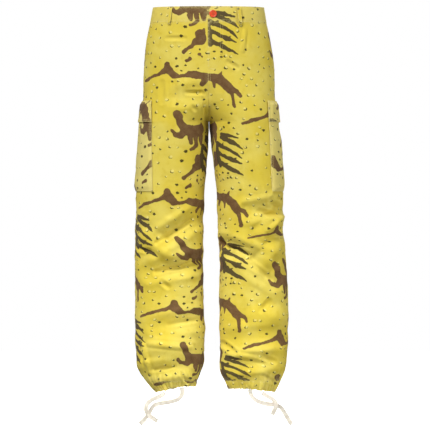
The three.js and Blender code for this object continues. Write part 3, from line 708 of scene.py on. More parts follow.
# Drawstring tapes
TAPE_WIDTH = 12.0
TAPE_THICKNESS = 2.0
FRAYED_ENDS = 16
TAPES = {
    "drawstring_right_outer": [
        (-121, -44.5, -1060.7), (-130, -47, -1067.3), (-140, -50, -1072.4), (-149, -53, -1076.2),
        (-157, -55.5, -1080), (-164, -57, -1084.6), (-169, -58.5, -1090.4), (-172.5, -59, -1097.4),
        (-173.5, -59, -1105), (-171.5, -59, -1113), (-167, -58, -1120), (-160, -57, -1126),
        (-152, -56, -1131.5), (-142, -55, -1138)],
    "drawstring_right_inner": [
        (-74.3, -50, -1045.6), (-73.5, -50, -1051.5), (-73.4, -50, -1057), (-74, -50, -1063),
        (-76.5, -50, -1069), (-81, -50, -1075), (-88, -50, -1080), (-97, -50, -1083),
        (-107, -50, -1085.2), (-118, -50, -1087), (-129, -50, -1088.6), (-139, -50, -1090.4),
        (-147.5, -50, -1094), (-154, -50, -1099), (-158.5, -50, -1105.5), (-162.5, -50, -1113),
        (-167, -50, -1120.5), (-173, -50, -1128.5), (-180.5, -50, -1137), (-189.5, -50, -1146.5)],
    "drawstring_left_inner": [
        (112.8, -52, -1051.1), (113.5, -51, -1058), (115.4, -50, -1064.6), (118.6, -50, -1070.5),
        (123.4, -50, -1076), (130, -50, -1081), (138, -50, -1085), (147, -50, -1088.2),
        (157, -50, -1090.6), (167, -50, -1092), (177, -50, -1093), (186, -50, -1094.6),
        (193.5, -50, -1098), (199.5, -50, -1103.5), (204.5, -50, -1110.5), (209.5, -50, -1118.5),
        (215, -50, -1128), (221, -50, -1138), (227.5, -50, -1148)],
    "drawstring_left_outer": [
        (146, -46.7, -1060.5), (153, -49, -1065.4), (160, -52, -1069.5), (167, -55, -1073),
        (173.5, -57, -1077), (179, -58, -1082), (182.6, -58.5, -1088), (183.8, -58.5, -1094.5),
        (182.8, -58, -1101), (180, -57, -1107.5), (177, -56, -1114), (174, -55, -1120.5)],
}


def route_line(points, steps):
    """A smooth line through the points, in even steps."""
    points = np.asarray(points, float)
    padded = np.vstack([2 * points[0] - points[1], points, 2 * points[-1] - points[-2]])
    line = []
    for k in range(1, len(padded) - 2):
        a, b, c, d = padded[k - 1 : k + 3]
        for t in np.arange(24) / 24:
            line.append(0.5 * (2 * b + (c - a) * t + (2 * a - 5 * b + 4 * c - d) * t**2
                               + (3 * b - a - 3 * c + d) * t**3))
    line = np.array(line + [points[-1]])
    arc = arc_across(line[None])[0]
    return along_line(np.linspace(0, arc[-1], steps), arc, line), arc[-1]


def woven_tape(name, route, seed):
    """A flat tape swept along its route, with a soft roll of its edges and a frayed end."""
    rng = np.random.default_rng(seed)
    line, length = route_line(route, int(12 * len(route)))
    tangent = np.gradient(line, axis=0)
    tangent /= np.linalg.norm(tangent, axis=1, keepdims=True)
    wide = np.cross(tangent, (0, 1, 0))
    wide /= np.linalg.norm(wide, axis=1, keepdims=True)
    thick = np.cross(wide, tangent)
    arc = np.linspace(0, length, len(line))
    sway = np.radians(9 * np.sin(arc / 17 + seed) + 5 * np.sin(arc / 7.3 + 2 * seed))
    wide, thick = (wide * np.cos(sway)[:, None] + thick * np.sin(sway)[:, None],
                   thick * np.cos(sway)[:, None] - wide * np.sin(sway)[:, None])
    w, t = TAPE_WIDTH / 2, TAPE_THICKNESS / 2
    profile = [(-w, 0), (-w + 0.35, 0.75 * t), (-w + 1.2, t), (-3, 0.82 * t), (0, 0.9 * t), (3, 0.82 * t),
               (w - 1.2, t), (w - 0.35, 0.75 * t), (w, 0), (w - 0.35, -0.75 * t), (w - 1.2, -t),
               (3, -0.82 * t), (0, -0.9 * t), (-3, -0.82 * t), (-w + 1.2, -t), (-w + 0.35, -0.75 * t)]
    around = len(profile)
    narrow = 1 - 0.05 * (1 + np.sin(arc / 11 + seed)) / 2
    vertices = [line[k] + wide[k] * x * narrow[k] + thick[k] * y
                for k in range(len(line)) for x, y in profile]
    faces = []
    for k in range(len(line) - 1):
        for s in range(around):
            e = (s + 1) % around
            faces.append((k * around + s, k * around + e, (k + 1) * around + e, (k + 1) * around + s))
    flat = [(x * MM, arc[k] * MM) for k in range(len(line)) for x, _ in profile]
    for ring_start in (0, (len(line) - 1) * around):
        centre = len(vertices)
        k = ring_start // around
        vertices.append(line[k])
        flat.append((0, arc[k] * MM))
        for s in range(around):
            e = (s + 1) % around
            pair = (ring_start + e, ring_start + s) if k == 0 else (ring_start + s, ring_start + e)
            faces.append((*pair, centre))
    for _ in range(FRAYED_ENDS):
        root = line[-1] + wide[-1] * rng.uniform(-w + 0.6, w - 0.6) + thick[-1] * rng.uniform(-0.5, 0.5)
        tip = root + tangent[-1] * rng.uniform(1.5, 4.2)
        tip = tip + wide[-1] * rng.normal(0, 0.6) + thick[-1] * rng.normal(0, 0.5)
        first = len(vertices)
        for s in range(3):
            turn = 2 * math.pi * s / 3
            spread = wide[-1] * math.cos(turn) + thick[-1] * math.sin(turn)
            vertices.append(root - tangent[-1] * 0.4 + 0.26 * spread)
        vertices.append(tip)
        flat += [(0, arc[-1] * MM)] * 4
        faces += [(first, first + 1, first + 3), (first + 1, first + 2, first + 3),
                  (first + 2, first, first + 3), (first + 2, first + 1, first)]
    piece = made_mesh(name + "_tape", vertices, faces)
    map_corners(piece, "tape", np.array(flat))
    in_edit_mode(piece, lambda: bpy.ops.mesh.normals_make_consistent(inside=False))
    dress(piece, TAPE_COTTON, 60)
    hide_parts(name)


for number, (tape_name, tape_route) in enumerate(TAPES.items()):
    woven_tape(tape_name, tape_route, number + 3)


# Leg panels
PANEL_ROWS = 350
PANEL_COLUMNS = 108
BACK_CUT = (146.0, 95.0)


def seam_ridge(distance, along, seed):
    """The felled seam's raised band, its edge and the small puckers that its stitches draw."""
    band = 0.55 * ease((9.5 - distance) / 1.6)
    places = np.stack([along, np.full_like(along, seed * 50.0), np.zeros_like(along)], -1)
    pucker = lattice_noise(places, 8, 31) * 0.45 + lattice_noise(places, 17, 32) * 0.35
    return band + pucker * np.exp(-distance / 9)


def leg_panel(name, side, face):
    plane_x = FLY_EDGE_X if face == "front" else 0.0
    z = np.linspace(BAND_BOTTOM - SEAM_GAP, TUNNEL_TOP, PANEL_ROWS + 1)[:, None]
    seam_x = plane_x * ease((z - CROTCH) / (FLY_END - CROTCH))
    start = seam_start(side, z, seam_x)
    gap_deg = np.degrees(SEWN_GAP / leg_section(side, z)[3])
    start = start + np.where(z < CROTCH, gap_deg, 0)
    share = np.linspace(0, 1, PANEL_COLUMNS + 1)[None, :]
    deg = start + (90 - gap_deg - start) * share
    turned = deg if face == "front" else 180 - deg
    z = np.broadcast_to(z, deg.shape)
    base = cloth_point(side, turned, z, np.zeros_like(deg))
    to_inseam = arc_across(base[..., :2])
    to_outseam = to_inseam[:, -1:] - to_inseam
    lift = seam_ridge(to_outseam, z, 1 if face == "front" else 1.2)
    lift = lift + np.where(z < CROTCH + 20, 0.8, 0.5) * seam_ridge(to_inseam, z, 2)

    def grid(out):
        points = cloth_point(side, turned, z, out)
        edge = side * seam_x + SEWN_GAP
        points[..., 0] = side * np.maximum(side * points[..., 0], edge)
        joined = z[:, 0] > CROTCH
        points[joined, 0, 0] = side * edge[joined, 0]
        return points

    zero_deg = 0 if face == "front" else 180
    places = cloth_places(side, base, turned, z, zero_deg, (0, 0) if face == "front" else BACK_CUT)
    lap = (side > 0) * (face == "front") * ease((z - FLY_END - 4) / 8)
    lift = lift + lap * (0.75 * ease((36 - to_inseam) / 1.5) * (0.6 + 0.4 * ease((3 - to_inseam) / 3)))
    inner_wear = np.where(z < CROTCH, 0.8, 0.3 + 0.6 * lap)
    worn = np.exp(-to_outseam / 5) + inner_wear * np.exp(-to_inseam / 4)
    worn = worn + 0.5 * np.exp(-(BAND_BOTTOM - z) / 4)
    worn = np.clip(worn + 0.7 * np.exp(-(z - TUNNEL_TOP) / 7), 0, 1)
    cloth_shell(name, grid(lift), grid(lift - TWILL), places, worn)


for leg_name, leg_side in (("left", 1), ("right", -1)):
    leg_panel(f"front_{leg_name}", leg_side, "front")
    leg_panel(f"back_{leg_name}", leg_side, "back")


# Waistband, fly shield and belt loops
def waistband(name, side):
    rows, columns = 22, 210
    z = np.linspace(0, BAND_BOTTOM - SEAM_GAP + 0.02, rows + 1)[:, None]
    start, end = seam_start(side, z, FLY_EDGE_X), 180 - seam_start(side, z, 0)
    deg = start + (end - start) * np.linspace(0, 1, columns + 1)[None, :]
    z = np.broadcast_to(z, deg.shape)
    base = cloth_point(side, deg, z, np.zeros_like(deg))
    arc = arc_across(base[..., :2])
    places = np.stack([arc, z, np.full_like(z, side * 90.0)], -1)
    pucker = 0.55 * lattice_noise(places, 9, 41) + 0.5 * lattice_noise(places, 24, 42)
    # turned edges top and bottom, pressed flatter where the stitch rows run
    fold = 0.5 * np.sin(np.pi * np.clip(-z / -BAND_BOTTOM, 0, 1)) ** 0.4
    rows_at = np.exp(-(((z + 4.5) / 1.1) ** 2)) + np.exp(-(((z - BAND_BOTTOM - 4) / 1.1) ** 2))
    lift = 0.45 + fold + pucker * 0.7 - 0.45 * rows_at
    cloth = cloth_places(side, base, deg, z, 0, (0, 0))
    worn = np.exp(z / 4) + 0.8 * np.exp(-(z - BAND_BOTTOM) / 4) + np.exp(-arc / 5)
    outer, inner = cloth_point(side, deg, z, lift), cloth_point(side, deg, z, lift - FOLDED_TWILL)
    for layer in (outer, inner):
        layer[:, 0, 0] = FLY_EDGE_X + side * SEWN_GAP
        layer[:, -1, 0] = side * SEWN_GAP
    cloth_shell(name, outer, inner, cloth, np.clip(worn, 0, 1),
                washed=0.3)


def fly_shield():
    z = np.linspace(-1.5, -160, 61)[:, None]
    share = np.linspace(-1, 1, 25)[None, :]
    x = 31 * share * (1 - 0.25 * (z + 1.5) / -158.5)
    deg = front_deg(x, z)
    z = np.broadcast_to(z, deg.shape)
    cloth = np.stack([x + 400, -z], -1)
    worn = np.clip(np.exp(-(31 - np.abs(x)) / 3), 0, 1)
    out = np.full(deg.shape, -3.6)
    cloth_shell("fly_shield", cloth_point(1, deg, z, out),
                cloth_point(1, deg, z, out - TWILL), cloth, worn)


LOOP_WIDTH = 11.0
LOOP_ROWS, LOOP_COLUMNS = 44, 12
LOOPS = {
    "belt_loop_front_right": (-1, 39.5), "belt_loop_front_left": (1, 30.0),
    "belt_loop_side_right": (-1, 118.0), "belt_loop_side_left": (1, 118.0),
    "belt_loop_back": (1, 180.0),
}


def belt_loop(name, side, middle_deg):
    t = np.linspace(0, 1, LOOP_ROWS + 1)[:, None]
    z = -3 - 47 * t
    across = np.linspace(-1, 1, LOOP_COLUMNS + 1)[None, :]
    half_deg = np.degrees(LOOP_WIDTH / 2 / leg_section(side, z)[0])
    deg = middle_deg + across * half_deg
    z = np.broadcast_to(z, deg.shape)
    slack = 2.6 * ease(np.minimum(1, 2.6 * np.sin(np.pi * t)))
    rib = 0.35 * np.cos(np.pi * across) ** 2 * np.ones_like(t)
    ends = -0.5 * (np.exp(-((t - 0.045) / 0.02) ** 2) + np.exp(-((t - 0.955) / 0.02) ** 2))
    lift = 1.7 + slack + rib + ends
    cloth = np.stack([across * LOOP_WIDTH / 2 * np.ones_like(t) + middle_deg * 5 * side, -z], -1)
    worn = np.clip(np.exp(-(1 - np.abs(across)) * 2.2) * np.ones_like(t), 0, 1)
    cloth_shell(name, cloth_point(side, deg, z, lift + 1.2),
                cloth_point(side, deg, z, lift - 0.4), cloth, worn)


for leg_name, leg_side in (("left", 1), ("right", -1)):
    waistband(f"waistband_{leg_name}", leg_side)
fly_shield()
for loop_name, (loop_side, loop_deg) in LOOPS.items():
    belt_loop(loop_name, loop_side, loop_deg)

# Cargo pockets, flaps and hems
# Distances of the pocket's front edge from the body's middle, at the flap's top and the bag's bottom
POCKET_EDGE_X = {1: (161.0, 172.0), -1: (157.0, 154.0)}
FLAP_WIDER_DEG = 1.5
POCKET_TOP, POCKET_BOTTOM = -274.0, -507.0
FLAP_TOP, FLAP_BOTTOM, FLAP_LIFT_END = -258.0, -317.0, -271.0
POCKET_SEAT, POCKET_SLACK, POCKET_EDGE = 0.5, 3.4, 12.0
THIGH_RADIUS = 98.0
POCKET_CUT = {1: (60.0, 77.0), -1: (60.0, 130.0)}
FLAP_CUT = {1: (205.0, 40.0), -1: (191.0, 40.0)}


def pocket_edge_deg(side, z):
    half, centre, _, _ = leg_section(side, z)
    top, bottom = POCKET_EDGE_X[side]
    x = top + (bottom - top) * (FLAP_TOP - z) / (FLAP_TOP - POCKET_BOTTOM)
    return np.degrees(np.arcsin(signed_power((x - centre) / half, ROUNDNESS / 2)))


def bag_slack(side, deg, z):
    inside = 90 - pocket_edge_deg(side, z) - np.abs(deg - 90)
    side_edge = np.radians(np.maximum(0, inside)) * THIGH_RADIUS
    return POCKET_SLACK * ease(side_edge / POCKET_EDGE) * ease((z - POCKET_BOTTOM) / POCKET_EDGE)


def edge_gaps(base, z):
    """Millimetres from each point of a grid to its left, right, top and bottom edges."""
    arc = arc_across(base[..., :2])
    return arc, arc[:, -1:] - arc, z[0, 0] - z, z - z[-1, 0]


def cargo_pocket(name, side):
    z = np.linspace(POCKET_TOP, POCKET_BOTTOM, 84)[:, None]
    deg = 90 + (90 - pocket_edge_deg(side, z)) * np.linspace(-1, 1, 91)[None, :]
    z = np.broadcast_to(z, deg.shape)
    base = cloth_point(side, deg, z, np.zeros_like(deg))
    left, right, _, below = edge_gaps(base, z)
    near = np.minimum(np.minimum(left, right), below)
    slack = bag_slack(side, deg, z)
    puff = 1.1 * lattice_noise(base * np.array([1, 1, 0.7]), 38, 51 + side) * ease(near / 25)
    turned = 0.5 * ease((8 - near) / 1.2)
    pucker = 0.4 * lattice_noise(base, 8, 53) * np.exp(-near / 8)
    lift = POCKET_SEAT + slack + np.maximum(puff + pucker, -0.4 * slack - 0.2) + turned
    cloth = cloth_places(side, base, deg, z, 90, POCKET_CUT[side])
    worn = np.clip(np.exp(-near / 3.5), 0, 1)
    cloth_shell(name, cloth_point(side, deg, z, lift + POCKET_TWILL),
                cloth_point(side, deg, z, lift), cloth, worn, washed=0.6)


def pocket_flap(name, side):
    z = np.linspace(FLAP_TOP, FLAP_BOTTOM, 34)[:, None]
    deg = 90 + (90 + FLAP_WIDER_DEG - pocket_edge_deg(side, z)) * np.linspace(-1, 1, 95)[None, :]
    z = np.broadcast_to(z, deg.shape)
    base = cloth_point(side, deg, z, np.zeros_like(deg))
    left, right, above, below = edge_gaps(base, z)
    near = np.minimum(np.minimum(left, right), np.minimum(above, below))
    lifted = bag_slack(side, deg, z) + POCKET_TWILL + POCKET_SEAT
    lift = POCKET_SEAT + lifted * ease((FLAP_TOP - z) / (FLAP_TOP - FLAP_LIFT_END))
    puff = 0.7 * lattice_noise(base, 30, 61 + side) * ease(near / 16)
    turned = 0.45 * ease((7 - near) / 1.2)
    pucker = 0.35 * lattice_noise(base, 8, 63) * np.exp(-near / 8)
    lift = lift + np.maximum(puff + pucker, -0.2) + turned + 0.5
    cloth = cloth_places(side, base, deg, z, 90, FLAP_CUT[side])
    worn = np.clip(np.exp(-near / 4), 0, 1)
    cloth_shell(name, cloth_point(side, deg, z, lift + POCKET_TWILL),
                cloth_point(side, deg, z, lift), cloth, worn, washed=0.6)


HEM_EDGE = {"left": (-1055.0, 4.0, 3.0), "right": (-1052.0, 8.0, 2.0)}


def hem_tunnel(name, side):
    middle, outer_drop, front_lift = HEM_EDGE["left" if side > 0 else "right"]
    down = np.linspace(0, 1, 15)[:, None]
    deg = np.linspace(0, 360, 361)[None, :-1] - 90 + 0 * down
    turn = np.radians(deg)
    bottom = middle - outer_drop * signed_power(np.sin(turn - math.radians(8)), 0.5)
    bottom = bottom + front_lift * np.cos(turn) ** 2
    z = (TUNNEL_TOP - 0.1) + (bottom - TUNNEL_TOP + 0.1) * down
    uneven = 0.75 + 0.25 * np.sin(np.radians(3 * deg + 40 * side))
    drift = 70 * np.sin(np.radians(2 * deg + 35 * side)) + 40 * np.sin(np.radians(5 * deg))
    gather = 2.0 * uneven * ease(down) * np.cos(np.radians(16 * deg + drift))
    fine = 0.8 * np.sin(np.radians(37 * deg + 25)) + 0.7 * np.sin(np.radians(53 * deg + 80 * side))
    channel = 0.9 * np.sin(np.pi * np.clip(down * 1.05, 0, 1)) ** 0.8
    stitch = -0.6 * np.exp(-(((z - TUNNEL_TOP + 3) / 1.2) ** 2))
    lift = gather + fine * (0.35 + 0.65 * down) + channel + stitch
    base = cloth_point(side, deg, z, np.zeros_like(deg))
    arc = arc_across(base[:1, :, :2]) + 0 * down
    cloth = np.stack([side * (arc + 35), -z * HEM_SLACK + 60], -1)
    worn = np.clip(np.exp(-(1 - down) * 3.2) + 0.8 * np.exp(-down * 9) + 0 * deg, 0, 1)
    cloth_shell(name, cloth_point(side, deg, z, lift),
                cloth_point(side, deg, z, lift - FOLDED_TWILL), cloth, worn, ring=True)


for leg_name, leg_side in (("left", 1), ("right", -1)):
    cargo_pocket(f"cargo_pocket_{leg_name}", leg_side)
    pocket_flap(f"cargo_flap_{leg_name}", leg_side)
    hem_tunnel(f"hem_tunnel_{leg_name}", leg_side)

# Sewing
STITCH_PITCH = 3.2
STITCH_HALF = (1.2, 0.42, 0.3)
THREAD_RISE = 0.12
TACK_PITCH = 0.55


def sewing_thread():
    n = Nodes("sewing_thread")
    place = n.object_place()
    ply = n.noise(place, 2600, 2)
    fade = n.noise(place, 30, 3)
    colour = n.mix(n.ramp(fade, 0.35, 0.7), (0.80, 0.70, 0.25), (0.66, 0.52, 0.12))
    colour = n.mix(n.ramp(ply, 0.4, 0.7, 0, 0.35), colour, (0.5, 0.38, 0.08))
    n.put(n.shader.inputs["Base Color"], colour)
    n.fixed(Roughness=0.6, Sheen_Weight=0.15)
    n.bump(ply, 0.0001, 0.6)
    return n.material


def button_thread():
    n = Nodes("button_thread")
    ply = n.noise(n.object_place(), 3000, 2)
    colour = n.mix(n.ramp(ply, 0.35, 0.65), (0.5, 0.07, 0.02), (0.75, 0.2, 0.06))
    n.put(n.shader.inputs["Base Color"], colour)
    n.fixed(Roughness=0.55)
    n.bump(ply, 0.0001, 0.6)
    return n.material


def modelled_stitch():
    """One stitch of thread, its corners and its faces: a short bead, flattened on the cloth."""
    bpy.ops.mesh.primitive_uv_sphere_add(segments=5, ring_count=3, radius=MM, location=(0, 0, 0))
    bead = bpy.context.object
    in_edit_mode(bead, lambda: bpy.ops.transform.resize(value=STITCH_HALF))
    corners = np.array([v.co[:] for v in bead.data.vertices]) / MM
    faces = [tuple(f.vertices) for f in bead.data.polygons]
    bpy.data.objects.remove(bead)
    return corners, faces


STITCH_CORNERS, STITCH_FACES = modelled_stitch()
SEWN = {}


def shell_spots(shell, column, row):
    """Places and outward normals at part columns and rows of a shell's outer face."""
    outer, inner = SHELLS[shell]
    rows, columns = outer.shape[0] - 1, outer.shape[1] - 1
    column, row = np.broadcast_arrays(np.clip(column, 0, columns), np.clip(row, 0, rows))
    c, r = np.minimum(column.astype(int), columns - 1), np.minimum(row.astype(int), rows - 1)
    u, v = (column - c)[:, None], (row - r)[:, None]
    a, b, d, e = outer[r, c], outer[r, c + 1], outer[r + 1, c], outer[r + 1, c + 1]
    place = (a * (1 - u) + b * u) * (1 - v) + (d * (1 - u) + e * u) * v
    out = outer[r, c] - inner[r, c]
    normal = np.cross(b - a + e - d, d - a + e - b)
    normal *= np.sign(np.einsum("ij,ij->i", normal, out))[:, None]
    normal += 1e-3 * out
    return place, normal / np.linalg.norm(normal, axis=1, keepdims=True)


def even_steps(places, normals, pitch):
    """Stitch places a pitch apart, with their normals and directions."""
    arc = arc_across(places[None])[0]
    count = max(2, int(arc[-1] / pitch))
    steps = (np.arange(count) + 0.5) * arc[-1] / count
    along, facing = along_line(steps, arc, places), along_line(steps, arc, normals)
    run = along_line(steps + 0.4, arc, places) - along_line(steps - 0.4, arc, places)
    return along, facing, run


def lay_stitches(group, along, facing, run):
    run = run / np.linalg.norm(run, axis=1, keepdims=True)
    facing = facing - run * np.einsum("ij,ij->i", run, facing)[:, None]
    facing = facing / np.linalg.norm(facing, axis=1, keepdims=True)
    wide = np.cross(facing, run)
    x, y, z = STITCH_CORNERS.T
    points = (along[:, None] + run[:, None] * x[:, None] + wide[:, None] * y[:, None]
              + facing[:, None] * (z + THREAD_RISE)[:, None])
    SEWN.setdefault(group, []).append(points)


def stitch_row(group, shell, column, row, pitch=STITCH_PITCH):
    """A row of stitches along the part columns and rows of a shell."""
    spots = shell_spots(shell, np.asarray(column, float), np.asarray(row, float))
    lay_stitches(group, *even_steps(*spots, pitch))


def bar_tack(group, shell, column, row):
    """Close stitches side by side, across the line between two spots of a shell."""
    places, normals = shell_spots(shell, np.linspace(*column, 9), np.linspace(*row, 9))
    along, facing, run = even_steps(places, normals, TACK_PITCH)
    lay_stitches(group, along, facing, np.cross(run, facing))


def row_arc(shell):
    return arc_across(SHELLS[shell][0])


def column_at(arc, distance, from_far_edge=False):
    """For each row, the part column that lies a distance in from an edge."""
    index = np.arange(arc.shape[1])
    return np.array([np.interp(line[-1] - distance if from_far_edge else distance, line, index)
                     for line in arc])


def height_rows(shell, z_from, z_to):
    """Part rows of a shell between two heights."""
    outer = SHELLS[shell][0]
    heights = outer[:, outer.shape[1] // 2, 2]
    rows = np.interp([-z_from, -z_to], -heights, np.arange(len(heights)))
    return np.linspace(rows[0], rows[1], max(12, int(abs(z_from - z_to) / 3)))


def edge_row(group, shell, distance, z_from, z_to, far=False):
    arc = row_arc(shell)
    rows = height_rows(shell, z_from, z_to)
    stitch_row(group, shell, np.interp(rows, np.arange(len(arc)), column_at(arc, distance, far)), rows)


def level_row(group, shell, z, share_from=0.0, share_to=1.0):
    outer = SHELLS[shell][0]
    columns = np.linspace(share_from, share_to, outer.shape[1]) * (outer.shape[1] - 1)
    stitch_row(group, shell, columns, np.full(columns.shape, height_rows(shell, z, z)[0]))


def framed_rows(group, shell, distance, top, bottom, with_top):
    """A row round a pocket or flap, the same distance in from each sewn edge."""
    edge_row(group, shell, distance, top, bottom + distance)
    edge_row(group, shell, distance, top, bottom + distance, far=True)
    width = row_arc(shell)[0, -1]
    level_row(group, shell, bottom + distance, distance / width, 1 - distance / width)
    if with_top:
        level_row(group, shell, top - distance, distance / width, 1 - distance / width)


NEAR_ROW, FAR_ROW = 1.6, 8.0
FLY_CURVE = 118.0


def sew_legs():
    for side in ("left", "right"):
        front, back, group = f"front_{side}", f"back_{side}", f"leg_sewing_{side}"
        for distance in (NEAR_ROW, FAR_ROW):
            edge_row(group, front, distance, BAND_BOTTOM - 3, FLAP_TOP + 2, far=True)
            edge_row(group, front, distance, POCKET_BOTTOM - 3, TUNNEL_TOP + 3, far=True)
            edge_row(group, front, distance, CROTCH - 4, TUNNEL_TOP + 3)
        edge_row(group, back, NEAR_ROW, CROTCH - 4, TUNNEL_TOP + 3)
        for panel in (front, back):
            level_row(group, panel, BAND_BOTTOM - 3.6)
    for distance in (NEAR_ROW, FAR_ROW - 1):
        edge_row("seat_sewing", "back_left", distance, BAND_BOTTOM - 3, CROTCH + 5)
        edge_row("fly_sewing", "front_left", distance, FLY_END - 2, CROTCH + 5)
    edge_row("fly_sewing", "front_left", 2.4, BAND_BOTTOM - 2, FLY_END + 3)
    for inset in (0.0, 6.0):
        reach = 37.5 - inset
        turn = np.radians(np.linspace(0, 82, 30))
        x = np.concatenate([np.full(24, reach), reach * np.cos(turn)])
        z = np.concatenate([np.linspace(BAND_BOTTOM - 3, -FLY_CURVE, 24),
                            -FLY_CURVE - (57 - inset) * np.sin(turn)])
        outer = SHELLS["front_left"][0]
        rows = np.interp(-z, -outer[:, 0, 2], np.arange(len(outer)))
        columns = [np.interp(place, outer[int(r), :, 0], np.arange(outer.shape[1]))
                   for place, r in zip(x, rows)]
        stitch_row("fly_sewing", "front_left", columns, rows)
    foot = height_rows("front_left", FLY_END + 3, FLY_END + 3)[0]
    bar_tack("fly_sewing", "front_left", (0.8, 4.4), (foot, foot))


def sew_bands():
    for side in ("left", "right"):
        for z in (-4.2, BAND_BOTTOM + 5.5):
            level_row("waist_sewing", f"waistband_{side}", z)
        edge_row("waist_sewing", f"waistband_{side}", NEAR_ROW + 0.6, -3, BAND_BOTTOM + 3)
        tunnel = SHELLS[f"hem_tunnel_{side}"][0]
        columns = np.arange(tunnel.shape[1])
        stitch_row("hem_sewing_" + side, f"hem_tunnel_{side}", columns, np.full(columns.shape, 1.6))
    for loop in LOOPS:
        for share in (0.14, 0.86):
            columns = np.full(LOOP_ROWS + 1, share * LOOP_COLUMNS)
            stitch_row("loop_sewing", loop, columns, np.arange(LOOP_ROWS + 1.0))
        for row in (2.0, 42.0):
            bar_tack("loop_sewing", loop, (1.2, 10.8), (row, row))


def sew_pockets():
    for side in ("left", "right"):
        group = f"pocket_sewing_{side}"
        for distance in (NEAR_ROW, FAR_ROW - 1.5):
            framed_rows(group, f"cargo_pocket_{side}", distance, POCKET_TOP - 2, POCKET_BOTTOM, False)
            framed_rows(group, f"cargo_flap_{side}", distance, FLAP_TOP, FLAP_BOTTOM, True)
        flap = f"cargo_flap_{side}"
        last = SHELLS[flap][0].shape[1] - 1
        level = height_rows(flap, FLAP_TOP - 10, FLAP_TOP - 10)[0]
        for columns in ((0.8, 4.4), (last - 4.4, last - 0.8)):
            bar_tack(group, flap, columns, (level, level))


sew_legs()
sew_bands()
sew_pockets()
THREAD = sewing_thread()
for group, rows in SEWN.items():
    points = np.concatenate(rows)
    each = len(STITCH_CORNERS)
    faces = [tuple(k * each + corner for corner in face)
             for k in range(len(points)) for face in STITCH_FACES]
    dress(made_mesh(group, points.reshape(-1, 3), faces), THREAD, 80)


# Waist button
def button_resin():
    n = Nodes("button_resin")
    place = n.object_place()
    cloud = n.noise(place, 160, 4, 0.6)
    colour = n.mix(n.ramp(cloud, 0.35, 0.68), (0.78, 0.075, 0.012), (0.62, 0.05, 0.01))
    scuff = n.ramp(n.noise(place, 900, 4, 0.7), 0.6, 0.8, 0, 0.25)
    colour = n.mix(scuff, colour, (0.9, 0.3, 0.14))
    n.put(n.shader.inputs["Base Color"], colour)
    n.put(n.shader.inputs["Roughness"], n.ramp(cloud, 0.3, 0.7, 0.34, 0.5))
    n.fixed(Coat_Weight=0.25, Coat_Roughness=0.25)
    n.bump(n.noise(place, 600, 3), 0.0001, 0.5)
    return n.material


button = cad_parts["waist_button"]
button.data.materials.clear()
button.data.materials.append(button_resin())

BUTTON_PLACE = (11.0, -21.0)
BUTTON_HOLE_PITCH, BUTTON_SEAT = 2.1, 1.2
BUTTON_WEB = 1.1


def button_stitches():
    """Four loops of thread through the button's holes, two to each pair."""
    x, z = BUTTON_PLACE
    deg = front_deg(x, z)
    normal = Vector(plain_normal(1, deg, z))
    seat = Vector(plain_point(1, deg, z)) + normal * BUTTON_SEAT
    turn = Vector((0, -1, 0)).rotation_difference(normal)
    for number, (level, shift) in enumerate(((1, -0.32), (1, 0.32), (-1, -0.32), (-1, 0.32))):
        bpy.ops.mesh.primitive_torus_add(
            major_radius=BUTTON_HOLE_PITCH * MM, minor_radius=0.3 * MM, major_segments=20, minor_segments=6,
            location=(0, 0, 0))
        loop = bpy.context.object
        loop.name = f"button_stitch_{number + 1}"
        in_edit_mode(loop, lambda: bpy.ops.transform.resize(value=(1.0, 0.8, 1.0)))
        lift = Vector((0, -BUTTON_WEB, level * BUTTON_HOLE_PITCH + shift))
        for corner in loop.data.vertices:
            place = turn @ (Vector(corner.co) / MM + lift) + seat
            corner.co = place * MM
        dress(loop, BUTTON_THREAD, 80)


BUTTON_THREAD = button_thread()
button_stitches()

# Floor and light
bpy.ops.mesh.primitive_circle_add(vertices=96, radius=9, fill_type="NGON", location=(0, 0, -1.19))
floor = bpy.context.object
floor.name = "floor"
floor.select_set(False)
paper = Nodes("pale_floor")
paper.fixed(Base_Color=(0.9, 0.9, 0.9, 1), Roughness=0.9,
            Emission_Color=(1, 1, 1, 1), Emission_Strength=0.8)
floor.data.materials.append(paper.material)
floor.visible_diffuse = False
floor.visible_glossy = False

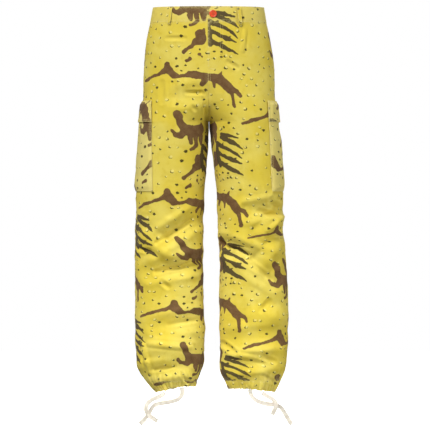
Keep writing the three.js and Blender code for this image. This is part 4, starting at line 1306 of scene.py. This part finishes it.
world = bpy.data.worlds.new("studio")
bpy.context.scene.world = world
world.use_nodes = True
sky = world.node_tree
background = sky.nodes["Background"]
background.inputs["Color"].default_value = (1, 1, 1, 1)
seen = sky.nodes.new("ShaderNodeLightPath")
strength = sky.nodes.new("ShaderNodeMapRange")
sky.links.new(seen.outputs["Is Camera Ray"], strength.inputs["Value"])
strength.inputs["To Min"].default_value = 0.29
strength.inputs["To Max"].default_value = 1.0
sky.links.new(strength.outputs[0], background.inputs["Strength"])


def softbox(name, place, aim, size, watts, spread=180):
    lamp = bpy.data.lights.new(name, "AREA")
    lamp.shape, lamp.size, lamp.energy, lamp.spread = "DISK", size, watts, math.radians(spread)
    holder = bpy.data.objects.new(name, lamp)
    holder.location = place
    holder.rotation_euler = (Vector(aim) - Vector(place)).to_track_quat("-Z", "Y").to_euler()
    holder.visible_camera = False
    bpy.context.scene.collection.objects.link(holder)


softbox("key_light", (-2.4, -4.2, 4.5), (0, 0, -0.6), 1.7, 455)
softbox("fill_light", (4.8, -2.8, -0.2), (0, 0, -0.7), 2.6, 118)
softbox("low_light", (-0.5, -3.4, -0.95), (0, 0, -1.07), 0.9, 1.3, 24)
softbox("back_light", (0.8, 3.6, 1.2), (0, 0, -0.5), 2.6, 105)
bpy.context.scene.view_settings.view_transform = "Standard"

# The flat cut of each cloth piece
# Piece, width, length, flat area as a share of width times length, how it is held and what holds
# it. A row with {} stands for the left piece and the right.
CUTS = [
    ("front_{}", 337, 1045, 0.82, "hung", "waistband_{}"),
    ("back_{}", 337, 1047, 0.82, "hung", "waistband_{}"),
    ("waistband_{}", 437, 43, 0.98, "hung", "front_{}"),
    ("fly_shield", 61, 159, 0.88, "hung", "front_right"),
    ("cargo_pocket_left", 210, 237, 0.9, "hung", "front_left"),
    ("cargo_pocket_right", 230, 237, 0.9, "hung", "front_right"),
    ("cargo_flap_left", 225, 62, 0.95, "hung", "front_left"),
    ("cargo_flap_right", 235, 62, 0.95, "hung", "front_right"),
    ("hem_tunnel_{}", 484, 26, 1.0, "gathered", "front_{}"),
    ("belt_loop_front_{}", 11, 49, 0.9, "hung", "waistband_{}"),
    ("belt_loop_side_{}", 11, 49, 0.8, "hung", "waistband_{}"),
    ("belt_loop_back", 15, 49, 1.0, "hung", "waistband_left"),
]
for cut_name, cut_width, cut_length, cut_share, cut_held, cut_holder in CUTS:
    cut_width, cut_length = cut_width * MM, cut_length * MM
